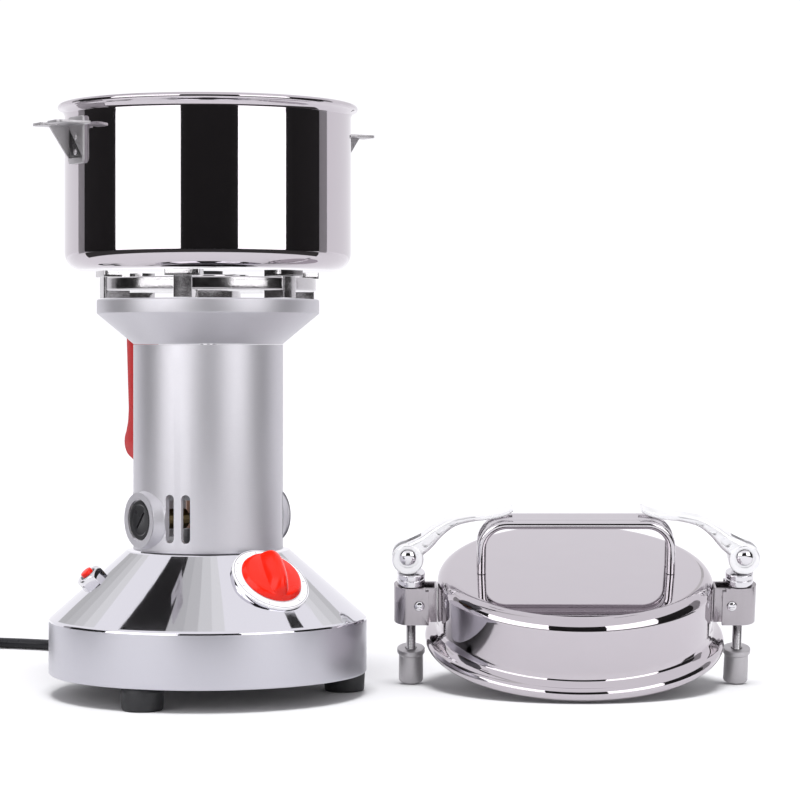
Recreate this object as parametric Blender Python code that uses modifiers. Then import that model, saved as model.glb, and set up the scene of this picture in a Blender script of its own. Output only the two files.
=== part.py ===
"""Bench hammer mill for grain, spices and herbs, in metres, +Z up.

The origin is the centre of the base plate's underside. The timer knob is at the front, -Y. The brush
caps are on +X and -X, and the bowl's catches are 5 degrees round from them. The lid is off: it lies
beside the machine, leaning on its two clamp nuts and the front of its rim.
"""

import math

import bmesh
import bpy
from mathutils import Matrix, Vector

GAP = 0.0003  # between pieces that touch

# Feet and base
FOOT_HEIGHT = 0.0129
FOOT_RADIUS = 0.0125
FOOT_CIRCLE = 0.0820
FOOT_ANGLES = {"foot_front_left": -60.0, "foot_front_right": 60.0, "foot_rear": 180.0}
FLOOR = -GAP - FOOT_HEIGHT
BASE_RADIUS = 0.0950
BASE_WALL = 0.0030
BAND_TOP = 0.0310
CONE_FOOT = (0.0940, 0.0331)
CONE_TOP = (0.0487, 0.0728)
BASE_MOUTH = 0.0380
PLATE_THICKNESS = 0.0020

# Column and collar
COLUMN_RADIUS = 0.0448
COLUMN_WALL = 0.0040
COLUMN_TOP = 0.1955
COLLAR_RADIUS = 0.0665
COLLAR_BAND = 0.2141
COLLAR_TOP = 0.2225
BRUSH_HEIGHT = 0.0920
BOSS_FACE = 0.0487
BOSS_RADIUS = 0.0145
BOSS_FLARE = 0.64  # growth of the boss's radius towards the column
CAP_RADIUS = 0.0120
VENT_ANGLES = (50.0, 63.0, 117.0, 130.0)
VENT_WIDTH = 0.0055
VENT_LOW = 0.0792
VENT_HIGH = 0.1076

# Bracket that carries the bowl
WEB_RADIUS = 0.0645
WEB_LOW = 0.2274
WEB_HIGH = 0.2350
HUB_TOP = 0.2372
POST_COUNT = 6
POST_FIRST = -46.0
POST_WIDTH = 0.0110
POST_OUTER = 0.0658

# Bowl
BOWL_RADIUS = 0.0856
BOWL_FLOOR = 0.2395
BOWL_TOP = 0.3385
BOWL_CORNER = 0.0120
BOWL_WALL = 0.0012
LIP_RADIUS = 0.0897
LIP_BEAD = 0.0019
CATCH_TURN = -5.0
CATCH_REACH = 0.1070
CATCH_HALF_WIDTH = 0.0185
CATCH_TOP = 0.3244
CATCH_SHEET = 0.0015
CATCH_BACK_LOW = 0.3008
CATCH_BACK_HIGH = 0.3283
CATCH_SLOT = 0.0038  # half the width of the slot for the bolt

# Things that stand square on the cone
CONE_TILT = math.atan2(CONE_TOP[1] - CONE_FOOT[1], CONE_FOOT[0] - CONE_TOP[0])
DIAL_PLACE = 0.0655
DIAL_RADIUS = 0.0240
DIAL_SEAT_RADIUS = 0.0220
DIAL_SEAT = 0.0008
DIAL_SHEET = 0.0010
KNOB_RADIUS = 0.0186
KNOB_SKIRT = 0.0050
KNOB_HEIGHT = 0.0150
KNOB_TURN = 12.5
BREAKER_PLACE = 0.0697
BREAKER_ANGLE = -103.0
NUT_FLATS = 0.0147
NUT_HEIGHT = 0.0080
BUTTON_RADIUS = 0.0036
BUTTON_TOP = 0.0109

# Motor
SHAFT_RADIUS = 0.0040
SHAFT_THICK = 0.0050
ARMATURE_RADIUS = 0.0205
STATOR_RADIUS = 0.0404
CORE_LOW = 0.1120
CORE_HIGH = 0.1620
COMMUTATOR_RADIUS = 0.0135
FAN_RADIUS = 0.0380
FAN_LOW = 0.1740
FAN_BLADES = 9

# Cutting blades
LOWER_BLADE = (0.0720, 0.0110, 0.2530)  # half span, half width, height
UPPER_BLADE = (0.0560, 0.0100, 0.2760)
BLADE_SHEET = 0.0025

# Rear handle
HANDLE_HALF_WIDTH = 0.0110

# Mains cord
CORD_RADIUS = 0.0035
GLAND_HEIGHT = 0.0120
GLAND_END = 0.1282
COIL_MIDDLE = (-0.0463, 0.2914)
COIL_RADIUS = 0.0390
COIL_HALF = 0.0072
PLUG_START = 0.0288  # from where the cord leaves the coil, along -Y

# Lid, in its own frame: origin at the middle of the rim's lower plane
LID_RADIUS = 0.0840
LID_HEIGHT = 0.0480
LID_CORNER = 0.0085
LID_WALL = 0.0012
RIM_RADIUS = 0.0915
RIM_TOUCH = 0.0898
STRAP_HALF_LENGTH = 0.0600
STRAP_TOP = 0.0820
STRAP_HALF_WIDTH = 0.0090
STRAP_SHEET = 0.0024
STRAP_CORNER = 0.0180

# Clamps, in the lid's frame, on its +X side
HINGE = (0.0950, 0.0275)
ROD_PLACE = 0.1000
ROD_RADIUS = 0.0030
BLOCK_INNER = 0.0893
BLOCK_OUTER = 0.1105
BLOCK_LOW = 0.0150
BLOCK_HIGH = 0.0388
BLOCK_HALF_WIDTH = 0.0090
EAR_HALF_WIDTH = 0.0062
SEAT_RADIUS = 0.0085
SEAT_TOP = 0.0467
PIN = (0.1020, 0.0580)
PIN_RADIUS = 0.0024
PIN_HEAD = 0.0050
CAM_RADIUS = 0.0095
CAM_OFFSET = 0.0015
LEVER_HALF_WIDTH = 0.0065
FORK_HALF_WIDTH = 0.0024
CLAMP_NUT_TOP = -0.0032
CLAMP_NUT_LOW = -0.0248
CLAMP_NUT_RADIUS = 0.0075
CLAMP_NUT_FLANGE = 0.0085
CLAMP_NUT_CHAMFER = 0.0010

# Where the lid rests. It leans over towards the viewer of its front, about its own X axis.
LID_TURN = math.radians(-37.0)
LID_NUTS = (0.2036, -0.0983)
LID_LEAN = math.atan2(-CLAMP_NUT_LOW, RIM_TOUCH - (CLAMP_NUT_RADIUS - CLAMP_NUT_CHAMFER))

LARGE_ROUND = 40
ROUND = 24
SMALL_ROUND = 16


# --- Scene, materials and placing ---------------------------------------------------------------


def clear_scene():
    for thing in list(bpy.data.objects):
        bpy.data.objects.remove(thing, do_unlink=True)


def new_collection(name):
    collection = bpy.data.collections.new(name)
    bpy.context.scene.collection.children.link(collection)
    return collection


def material(name, colour, roughness, metallic):
    made = bpy.data.materials.new(name)
    made.use_nodes = True
    shader = made.node_tree.nodes["Principled BSDF"]
    shader.inputs["Base Color"].default_value = (*colour, 1.0)
    shader.inputs["Roughness"].default_value = roughness
    shader.inputs["Metallic"].default_value = metallic
    made.diffuse_color = (*colour, 1.0)
    return made


clear_scene()
PARTS = new_collection("hammer_mill")
TOOLS = new_collection("cutters")

PAINT = material("silver_paint", (0.62, 0.62, 0.66), 0.35, 0.6)
MIRROR = material("polished_stainless", (0.78, 0.78, 0.80), 0.05, 1.0)
CHROME = material("chrome", (0.80, 0.80, 0.82), 0.10, 1.0)
CAST = material("cast_aluminium", (0.70, 0.70, 0.72), 0.40, 0.9)
STEEL = material("steel", (0.50, 0.50, 0.52), 0.35, 1.0)
IRON = material("laminated_iron", (0.20, 0.20, 0.21), 0.50, 0.9)
COPPER = material("copper", (0.75, 0.36, 0.18), 0.35, 1.0)
BRASS = material("brass", (0.78, 0.60, 0.25), 0.30, 1.0)
CARBON = material("carbon", (0.03, 0.03, 0.03), 0.70, 0.0)
RUBBER = material("black_rubber", (0.02, 0.02, 0.02), 0.80, 0.0)
BLACK = material("black_plastic", (0.03, 0.03, 0.03), 0.40, 0.0)
RED = material("red_plastic", (0.75, 0.03, 0.02), 0.30, 0.0)
DIAL = material("dial_plate", (0.85, 0.85, 0.87), 0.20, 0.1)
SILICONE = material("white_silicone", (0.80, 0.80, 0.78), 0.60, 0.0)


def add(name, mesh, finish=None, parent=None):
    """An object of the mesh. One with a finish is a part, and one without is a tool."""
    thing = bpy.data.objects.new(name, mesh)
    if finish:
        mesh.materials.clear()
        mesh.materials.append(finish)
        PARTS.objects.link(thing)
    else:
        thing.hide_render = True
        thing.display_type = "WIRE"
        TOOLS.objects.link(thing)
    thing.parent = parent
    return thing


def empty(name, matrix, parent=None):
    """An empty that carries the pieces of a sub-assembly."""
    thing = bpy.data.objects.new(name, None)
    PARTS.objects.link(thing)
    thing.parent = parent
    thing.matrix_basis = matrix
    return thing


def smooth(mesh, angle=35.0):
    mesh.shade_smooth()
    mesh.set_sharp_from_angle(angle=math.radians(angle))


def around(radius, angle, height):
    """A point at an angle in degrees round the machine, from the front, -Y, towards +X."""
    turn = math.radians(angle)
    return Vector((radius * math.sin(turn), -radius * math.cos(turn), height))


def cone_frame(radius, angle):
    """A frame on the base's cone at this radius: Z leaves the cone squarely, and Y climbs it."""
    height = CONE_FOOT[1] + (CONE_FOOT[0] - radius) * math.tan(CONE_TILT)
    turn = Matrix.Rotation(math.radians(angle), 4, "Z")
    lean = Matrix.Rotation(CONE_TILT, 4, "X")
    return Matrix.Translation(around(radius, angle, height)) @ turn @ lean


# --- Shapes --------------------------------------------------------------------------------------


def arc(middle, radius, start, end, steps):
    """Points on an arc of a profile or outline, from one angle in degrees to another."""
    found = []
    for i in range(steps + 1):
        turn = math.radians(start + (end - start) * i / steps)
        found.append((middle[0] + radius * math.cos(turn), middle[1] + radius * math.sin(turn)))
    return found


def turned(name, profile, finish=None, parent=None, steps=ROUND):
    """A profile of (radius, height) points turned about Z. It runs down the outer side; one that
    doesn't start on the axis is closed back to its first point."""
    mesh = bpy.data.meshes.new(name)
    corners = [(radius, 0.0, height) for radius, height in profile]
    edges = [(i, i + 1) for i in range(len(profile) - 1)]
    if profile[0][0] > 0:
        edges.append((len(profile) - 1, 0))
    mesh.from_pydata(corners, edges, [])
    thing = add(name, mesh, finish, parent)
    screw = thing.modifiers.new("turn", "SCREW")
    screw.axis = "Z"
    screw.steps = steps
    screw.render_steps = steps
    screw.use_merge_vertices = True
    screw.merge_threshold = 0.00001
    screw.use_smooth_shade = True
    return thing


def rod(name, radius, low, high, finish=None, parent=None, steps=SMALL_ROUND):
    """A plain cylinder on Z."""
    profile = [(0.0, high), (radius, high), (radius, low), (0.0, low)]
    return turned(name, profile, finish, parent, steps)


def ring(name, inner, outer, low, high, finish=None, parent=None, steps=ROUND):
    profile = [(inner, high), (outer, high), (outer, low), (inner, low)]
    return turned(name, profile, finish, parent, steps)


def block(name, low, high, finish=None, parent=None, bevel=0.0):
    """A box between two corners, with its edges rounded by bevel."""
    mesh = bpy.data.meshes.new(name)
    shape = bmesh.new()
    bmesh.ops.create_cube(shape, size=1.0)
    size = Vector(high) - Vector(low)
    middle = (Vector(high) + Vector(low)) / 2
    bmesh.ops.transform(shape, matrix=Matrix.Translation(middle) @ Matrix.Diagonal((*size, 1.0)),
                        verts=shape.verts)
    shape.to_mesh(mesh)
    shape.free()
    thing = add(name, mesh, finish, parent)
    if bevel:
        edge = thing.modifiers.new("edge", "BEVEL")
        edge.width = bevel
        edge.segments = 2
    return thing


def slab(name, outline, low, high, finish=None, parent=None, bevel=0.0, lying=False):
    """An outline of (x, z) points, filled and made thick along Y, from low to high. A lying one is
    an outline of (x, y) points, thick along Z."""
    curve = bpy.data.curves.new(name, "CURVE")
    curve.dimensions = "2D"
    curve.fill_mode = "BOTH"
    curve.extrude = (high - low) / 2
    line = curve.splines.new("POLY")
    line.points.add(len(outline) - 1)
    for point, (x, z) in zip(line.points, outline, strict=True):
        point.co = (x, z, 0.0, 1.0)
    line.use_cyclic_u = True
    guide = bpy.data.objects.new("guide", curve)
    TOOLS.objects.link(guide)
    found = guide.evaluated_get(bpy.context.evaluated_depsgraph_get())
    mesh = bpy.data.meshes.new_from_object(found)
    bpy.data.objects.remove(guide, do_unlink=True)
    shape = bmesh.new()
    shape.from_mesh(mesh)
    bmesh.ops.remove_doubles(shape, verts=shape.verts, dist=0.00001)
    place = Matrix.Translation((0, 0, (low + high) / 2))
    if not lying:
        place = Matrix.Translation((0, (low + high) / 2, 0)) @ Matrix.Rotation(math.pi / 2, 4, "X")
    bmesh.ops.transform(shape, matrix=place, verts=shape.verts)
    bmesh.ops.recalc_face_normals(shape, faces=shape.faces)
    shape.to_mesh(mesh)
    shape.free()
    mesh.name = name
    thing = add(name, mesh, finish, parent)
    if bevel:
        edge = thing.modifiers.new("edge", "BEVEL")
        edge.width = bevel
        edge.segments = 2
        edge.limit_method = "ANGLE"
        edge.angle_limit = math.radians(50)
    return thing


def hexagon(name, flats, low, high, finish=None, parent=None):
    """A six-sided prism on Z."""
    return rod(name, flats / math.sqrt(3), low, high, finish, parent, steps=6)


def combine(thing, operation, *others):
    for other in others:
        step = thing.modifiers.new(operation.lower(), "BOOLEAN")
        step.operation = operation
        step.object = other


def cut(thing, *others):
    combine(thing, "DIFFERENCE", *others)


def join(thing, *others):
    combine(thing, "UNION", *others)


def smooth_route(corners, spans):
    """A curve through the corners, as points, with this many to each span."""
    found = []
    for i in range(len(corners) - 1):
        before = Vector(corners[max(i - 1, 0)])
        start = Vector(corners[i])
        end = Vector(corners[i + 1])
        after = Vector(corners[min(i + 2, len(corners) - 1)])
        for k in range(spans):
            t = k / spans
            bend = (2 * before - 5 * start + 4 * end - after) * t * t
            twist = (3 * start - before - 3 * end + after) * t * t * t
            found.append((2 * start + (end - before) * t + bend + twist) / 2)
    found.append(Vector(corners[-1]))
    return found


def tube(name, points, radius, finish, resolution=3):
    """A round tube along the points, with filled ends."""
    curve = bpy.data.curves.new(name, "CURVE")
    curve.dimensions = "3D"
    curve.bevel_depth = radius
    curve.bevel_resolution = resolution
    curve.use_fill_caps = True
    line = curve.splines.new("POLY")
    line.points.add(len(points) - 1)
    for point, place in zip(line.points, points, strict=True):
        point.co = (*place, 1.0)
    curve.materials.append(finish)
    thing = bpy.data.objects.new(name, curve)
    PARTS.objects.link(thing)
    return thing


# --- Base ----------------------------------------------------------------------------------------


def make_feet():
    profile = [(0.0, -GAP), (FOOT_RADIUS - 0.001, -GAP), (FOOT_RADIUS, -GAP - 0.001),
               (FOOT_RADIUS - 0.001, FLOOR + 0.001), (FOOT_RADIUS - 0.002, FLOOR), (0.0, FLOOR)]
    for name, angle in FOOT_ANGLES.items():
        foot = turned(name, profile, RUBBER, steps=SMALL_ROUND)
        foot.location = around(FOOT_CIRCLE, angle, 0.0)


def make_base():
    slant = BASE_WALL / math.cos(CONE_TILT)
    inner = BASE_RADIUS - BASE_WALL
    inner_foot = CONE_FOOT[1] + (CONE_FOOT[0] - inner) * math.tan(CONE_TILT) - slant
    inner_top = CONE_TOP[1] - BASE_WALL
    inner_neck = CONE_TOP[0] - (slant - BASE_WALL) / math.tan(CONE_TILT)
    profile = [(BASE_MOUTH, CONE_TOP[1]), CONE_TOP, CONE_FOOT,
               (BASE_RADIUS - 0.0002, BAND_TOP + 0.0009), (BASE_RADIUS, BAND_TOP),
               (BASE_RADIUS, 0.0008), (BASE_RADIUS - 0.0008, 0.0), (inner, 0.0),
               (inner, inner_foot), (inner_neck, inner_top), (BASE_MOUTH, inner_top)]
    shell = turned("base_shell", profile, PAINT, steps=LARGE_ROUND)

    dial = cone_frame(DIAL_PLACE, 0.0)
    seat = rod("dial_seat", DIAL_SEAT_RADIUS, -0.0030, DIAL_SEAT, steps=ROUND)
    seat.matrix_basis = dial
    stem_hole = rod("stem_hole", 0.0040, -0.0100, 0.0100)
    stem_hole.matrix_basis = dial
    breaker_hole = rod("breaker_hole", 0.0053, -0.0100, 0.0100)
    breaker_hole.matrix_basis = cone_frame(BREAKER_PLACE, BREAKER_ANGLE)
    gland_hole = rod("gland_hole", 0.0063, BASE_RADIUS - 0.0100, BASE_RADIUS + 0.0100)
    gland_hole.matrix_basis = Matrix.Translation((0, 0, GLAND_HEIGHT)) @ along_y()
    join(shell, seat)
    cut(shell, stem_hole, breaker_hole, gland_hole)

    rod("base_plate", BASE_RADIUS - BASE_WALL - 0.0005, 0.0, PLATE_THICKNESS, STEEL, steps=LARGE_ROUND)


def along_y():
    """Turns Z to +Y."""
    return Matrix.Rotation(-math.pi / 2, 4, "X")


def along_x(side):
    """Turns Z to +X or -X."""
    return Matrix.Rotation(side * math.pi / 2, 4, "Y")


# --- Column, collar and the bracket under the bowl --------------------------------------------------


def make_column():
    column = rod("motor_column", COLUMN_RADIUS, CONE_TOP[1] + GAP, COLUMN_TOP, PAINT, steps=LARGE_ROUND)
    deep = 0.0300
    flare = BRUSH_HEIGHT - CONE_TOP[1] - 2 * GAP
    flare_place = BOSS_FACE - (flare - BOSS_RADIUS) / BOSS_FLARE
    bore = rod("column_bore", COLUMN_RADIUS - COLUMN_WALL, 0.0600, 0.2100, steps=LARGE_ROUND)
    bosses = []
    holes = []
    for side, label in ((1, "right"), (-1, "left")):
        place = Matrix.Translation((0, 0, BRUSH_HEIGHT)) @ along_x(side)
        boss = turned(f"boss_{label}", [(0.0, BOSS_FACE), (BOSS_RADIUS - 0.0006, BOSS_FACE),
                                        (BOSS_RADIUS, BOSS_FACE - 0.0006), (flare, flare_place),
                                        (flare, deep), (0.0, deep)])
        pocket = turned(f"pocket_{label}", [(0.0, 0.0600), (CAP_RADIUS + 0.0003, 0.0600),
                                            (CAP_RADIUS + 0.0003, 0.0439), (0.0066, 0.0439),
                                            (0.0066, 0.0200), (0.0, 0.0200)])
        boss.matrix_basis = place
        pocket.matrix_basis = place
        bosses.append(boss)
        holes.append(pocket)
    for side in (1, -1):
        for angle in VENT_ANGLES:
            half = VENT_WIDTH / 2
            outline = arc((0, VENT_HIGH - half), half, 0, 180, 4)
            outline += arc((0, VENT_LOW + half), half, 180, 360, 4)
            vent = slab(f"vent_{side}_{angle:.0f}", outline, -0.0600, -0.0300)
            vent.rotation_euler = (0, 0, math.radians(side * angle))
            holes.append(vent)
    join(column, *bosses)
    cut(column, bore, *holes)


def make_collar():
    inner = COLUMN_RADIUS - COLUMN_WALL
    low = COLUMN_TOP + GAP
    profile = [(0.0300, COLLAR_TOP), (COLLAR_RADIUS - 0.001, COLLAR_TOP),
               (COLLAR_RADIUS, COLLAR_TOP - 0.001), (COLLAR_RADIUS, COLLAR_BAND),
               (COLUMN_RADIUS, low), (inner, low), (inner, low + 0.0020),
               (COLLAR_RADIUS - 0.0040, COLLAR_BAND + 0.0020),
               (COLLAR_RADIUS - 0.0040, COLLAR_TOP - 0.0030), (0.0300, COLLAR_TOP - 0.0030)]
    turned("flare_collar", profile, PAINT, steps=LARGE_ROUND)


def make_bracket():
    profile = [(0.0133, HUB_TOP), (0.0190, HUB_TOP), (0.0190, WEB_HIGH), (WEB_RADIUS, WEB_HIGH),
               (WEB_RADIUS, WEB_LOW), (0.0190, WEB_LOW), (0.0190, 0.2160), (0.0070, 0.2160),
               (0.0070, 0.2185), (0.0133, 0.2185)]
    bracket = turned("top_bracket", profile, CAST, steps=LARGE_ROUND)
    posts = []
    for i in range(POST_COUNT):
        post = block(f"post_{i}", (-POST_WIDTH / 2, -POST_OUTER, COLLAR_TOP + GAP),
                     (POST_WIDTH / 2, -0.0500, BOWL_FLOOR - GAP))
        lug = block(f"lug_{i}", (-0.0105, -0.0670, BOWL_FLOOR - 0.0042),
                    (0.0105, -0.0560, BOWL_FLOOR - GAP - 0.0002))
        for piece in (post, lug):
            piece.rotation_euler = (0, 0, math.radians(POST_FIRST + 360 / POST_COUNT * i))
            posts.append(piece)
    join(bracket, *posts)


# --- Bowl ------------------------------------------------------------------------------------------


def make_bowl():
    bead = (LIP_RADIUS - LIP_BEAD, BOWL_TOP - LIP_BEAD)
    corner = (BOWL_RADIUS - BOWL_CORNER, BOWL_FLOOR + BOWL_CORNER)
    inner = BOWL_RADIUS - BOWL_WALL
    hole = 0.0090
    profile = arc(bead, LIP_BEAD, 180, -70, 5)
    profile += [(BOWL_RADIUS + 0.0006, BOWL_TOP - 0.0050), (BOWL_RADIUS, BOWL_TOP - 0.0070)]
    profile += arc(corner, BOWL_CORNER, 0, -90, 4)
    profile += [(hole, BOWL_FLOOR), (hole, BOWL_FLOOR + BOWL_WALL)]
    profile += arc(corner, BOWL_CORNER - BOWL_WALL, -90, 0, 4)
    profile += [(inner, BOWL_TOP - 0.0070), (inner + 0.0004, BOWL_TOP - 0.0047)]
    turned("grinding_bowl", profile, MIRROR, steps=LARGE_ROUND)


def make_catches():
    back = BOWL_RADIUS + GAP
    sheet = CATCH_SHEET
    for side, label in ((1, "right"), (-1, "left")):
        turn = Matrix.Rotation(math.radians(CATCH_TURN + (0 if side > 0 else 180)), 4, "Z")
        catch = block(f"bowl_catch_{label}", (back, -CATCH_HALF_WIDTH, CATCH_TOP - sheet),
                      (CATCH_REACH, CATCH_HALF_WIDTH, CATCH_TOP), STEEL)
        plate = block(f"catch_back_{label}", (back, -0.0100, CATCH_BACK_LOW),
                      (back + sheet, 0.0100, CATCH_BACK_HIGH))
        top = CATCH_TOP - sheet / 2
        outline = [(back, top), (back, CATCH_BACK_LOW + 0.0020), (back + 0.0020, CATCH_BACK_LOW + 0.0045),
                   (back + 0.0145, top)]
        gusset = slab(f"gusset_{label}", outline, -0.0100, -0.0100 + sheet)
        slot = block(f"catch_slot_{label}", (ROD_PLACE - 0.0025, -CATCH_SLOT, CATCH_TOP - 0.01),
                     (CATCH_REACH + 0.01, CATCH_SLOT, CATCH_TOP + 0.01))
        for piece in (catch, plate, slot, gusset):
            piece.matrix_basis = turn
        join(catch, plate, gusset)
        cut(catch, slot)


# --- Timer, breaker, brushes ---------------------------------------------------------------------


def make_timer():
    frame = cone_frame(DIAL_PLACE, 0.0)
    dial = empty("dial_frame", frame)
    plate_low = DIAL_SEAT + GAP
    plate_high = plate_low + DIAL_SHEET
    ring("dial_plate", 0.0040, DIAL_RADIUS, plate_low, plate_high, DIAL, dial)
    turned("timer_body", [(0.0, -0.0060), (0.0200, -0.0060), (0.0200, -0.0300), (0.0, -0.0300)],
           BLACK, dial, SMALL_ROUND)

    knob_axis = empty("knob_axis", Matrix.Rotation(math.radians(-KNOB_TURN), 4, "Z"), dial)
    low = plate_high + 0.0004
    skirt = low + KNOB_SKIRT
    profile = [(0.0, skirt + 0.0006), (KNOB_RADIUS - 0.0050, skirt), (KNOB_RADIUS - 0.0012, skirt - 0.0012),
               (KNOB_RADIUS, skirt - 0.0030), (KNOB_RADIUS, low), (0.0032, low), (0.0032, -0.0054),
               (0.0, -0.0054)]
    knob = turned("timer_knob", profile, RED, knob_axis)
    grip = [(-KNOB_RADIUS + 0.0010, low + 0.0010), (KNOB_RADIUS - 0.0010, low + 0.0010),
            (KNOB_RADIUS - 0.0030, low + KNOB_HEIGHT - 0.0050)]
    grip += arc((0.0, low + KNOB_HEIGHT - 0.0070), 0.0130, 30, 150, 6)
    grip += [(-KNOB_RADIUS + 0.0030, low + KNOB_HEIGHT - 0.0050)]
    top = low + KNOB_HEIGHT
    grip = [(x, min(z, top)) for x, z in grip]
    ridge = slab("knob_grip", grip, -0.0038, 0.0038)
    ridge.parent = knob_axis
    ridge.rotation_euler = (0, 0, math.pi / 2)
    join(knob, ridge)


def make_breaker():
    frame = empty("breaker_frame", cone_frame(BREAKER_PLACE, BREAKER_ANGLE))
    nut = hexagon("breaker_nut", NUT_FLATS, GAP, GAP + NUT_HEIGHT, CHROME, frame)
    bore = rod("breaker_nut_bore", 0.0053, -0.01, 0.02)
    bore.parent = frame
    cut(nut, bore)
    top = GAP + NUT_HEIGHT
    turned("breaker_body", [(0.0, -0.0065), (0.0039, -0.0065), (0.0039, top), (0.0050, top),
                            (0.0050, -0.0042), (0.0090, -0.0042), (0.0090, -0.0260),
                            (0.0, -0.0260)], BLACK, frame, SMALL_ROUND)
    edge = 0.0006
    turned("reset_button", [(0.0, BUTTON_TOP), (BUTTON_RADIUS - edge, BUTTON_TOP),
                            (BUTTON_RADIUS, BUTTON_TOP - edge), (BUTTON_RADIUS, -0.0030),
                            (0.0, -0.0030)], RED, frame, SMALL_ROUND)


def make_brushes():
    for side, label in ((1, "right"), (-1, "left")):
        frame = empty(f"brush_frame_{label}", Matrix.Translation((0, 0, BRUSH_HEIGHT)) @ along_x(side))
        cap = turned(f"brush_cap_{label}", [(0.0, 0.0482), (CAP_RADIUS - 0.0008, 0.0482),
                                            (CAP_RADIUS, 0.0474), (CAP_RADIUS, 0.0442),
                                            (0.0, 0.0442)], BLACK, frame, ROUND)
        slot = block(f"cap_slot_{label}", (-0.0007, -0.0045, 0.0472), (0.0007, 0.0045, 0.0500))
        slot.parent = frame
        cut(cap, slot)
        ring(f"brush_holder_{label}", 0.0047, 0.0060, 0.0170, 0.0436, BRASS, frame, SMALL_ROUND)
        block(f"carbon_brush_{label}", (-0.0030, -0.0030, COMMUTATOR_RADIUS + GAP),
              (0.0030, 0.0030, 0.0300), CARBON, frame)


# --- Motor and blades ------------------------------------------------------------------------------


def make_motor():
    ring("lower_bearing", SHAFT_RADIUS + GAP, 0.0107, 0.0750, 0.0840, STEEL, steps=24)
    turned("lower_bearing_plate", [(0.0110, 0.0850), (0.0150, 0.0850), (0.0150, 0.0780),
                                   (0.0404, 0.0780), (0.0404, 0.0734), (0.0065, 0.0734),
                                   (0.0065, 0.0747), (0.0110, 0.0747)], CAST)
    ring("upper_bearing", SHAFT_RADIUS + GAP, 0.0130, 0.2188, 0.2320, STEEL, steps=24)
    turned("shaft_seal", [(0.0044, 0.2452), (0.0070, 0.2452), (0.0120, 0.2427), (0.0120, 0.2411),
                          (0.0086, 0.2411), (0.0086, 0.2367), (0.0044, 0.2367)], RUBBER, steps=24)
    turned("stator", [(0.0230, CORE_HIGH + 0.008), (0.0370, CORE_HIGH + 0.008), (0.0370, CORE_HIGH),
                      (STATOR_RADIUS, CORE_HIGH), (STATOR_RADIUS, CORE_LOW), (0.0370, CORE_LOW),
                      (0.0370, CORE_LOW - 0.008), (0.0230, CORE_LOW - 0.008),
                      (ARMATURE_RADIUS + 0.0010, CORE_LOW), (ARMATURE_RADIUS + 0.0010, CORE_HIGH)], IRON)

    thick = SHAFT_THICK
    thin = SHAFT_RADIUS
    turned("motor_shaft", [(0.0, 0.2920), (thin - 0.0005, 0.2920), (thin, 0.2915), (thin, 0.2180),
                           (thick, 0.2160), (thick, 0.0855), (thin, 0.0850), (thin, 0.0740),
                           (0.0, 0.0740)], STEEL, steps=SMALL_ROUND)
    bore = thick + GAP
    wound = 0.0165
    turned("armature", [(bore, CORE_HIGH + 0.005), (wound, CORE_HIGH + 0.005), (wound, CORE_HIGH - 0.002),
                        (ARMATURE_RADIUS, CORE_HIGH - 0.002), (ARMATURE_RADIUS, CORE_LOW + 0.002),
                        (wound, CORE_LOW + 0.002), (wound, CORE_LOW - 0.006),
                        (bore, CORE_LOW - 0.006)], COPPER, steps=24)
    ring("commutator", bore, COMMUTATOR_RADIUS, 0.0860, 0.1030, COPPER, steps=24)

    fan = turned("cooling_fan", [(bore, FAN_LOW + 0.012), (0.0110, FAN_LOW + 0.012),
                                 (0.0110, FAN_LOW + 0.002), (FAN_RADIUS, FAN_LOW + 0.002),
                                 (FAN_RADIUS, FAN_LOW), (bore, FAN_LOW)], BLACK, steps=24)
    vanes = []
    for i in range(FAN_BLADES):
        vane = block(f"fan_vane_{i}", (-0.0008, 0.0100, FAN_LOW + 0.001),
                     (0.0008, FAN_RADIUS - 0.0005, FAN_LOW + 0.012))
        vane.rotation_euler = (0, 0, 2 * math.pi * i / FAN_BLADES)
        vanes.append(vane)
    join(fan, *vanes)


def blade_outline(half_span, half_width):
    """A flat bar with slanting ends and one swept cutting corner at each end."""
    slant = half_width * 0.9
    half = [(half_span - slant, -half_width), (half_span, half_width * 0.3),
            (half_span - slant * 0.5, half_width), (0.0140, half_width * 0.75)]
    return half + [(-x, -y) for x, y in half]


def make_blades():
    hub = SHAFT_RADIUS + GAP
    for name, (half_span, half_width, height), angle in (("lower_blade", LOWER_BLADE, 20.0),
                                                         ("upper_blade", UPPER_BLADE, 110.0)):
        blade = slab(name, blade_outline(half_span, half_width), height, height + BLADE_SHEET, STEEL,
                     lying=True)
        blade.rotation_euler = (0, 0, math.radians(angle))
        hole = rod(f"{name}_hole", hub, 0.2400, 0.2900)
        cut(blade, hole)
    spacer_low = LOWER_BLADE[2] + BLADE_SHEET + GAP
    ring("blade_spacer", hub, 0.0090, spacer_low, UPPER_BLADE[2] - GAP, STEEL, steps=24)
    nut_low = UPPER_BLADE[2] + BLADE_SHEET + GAP
    nut = hexagon("blade_nut", 0.0130, nut_low, nut_low + 0.0075, STEEL)
    cut(nut, rod("blade_nut_bore", hub, 0.2400, 0.3000))


# --- Rear handle and mains cord ------------------------------------------------------------------


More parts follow.
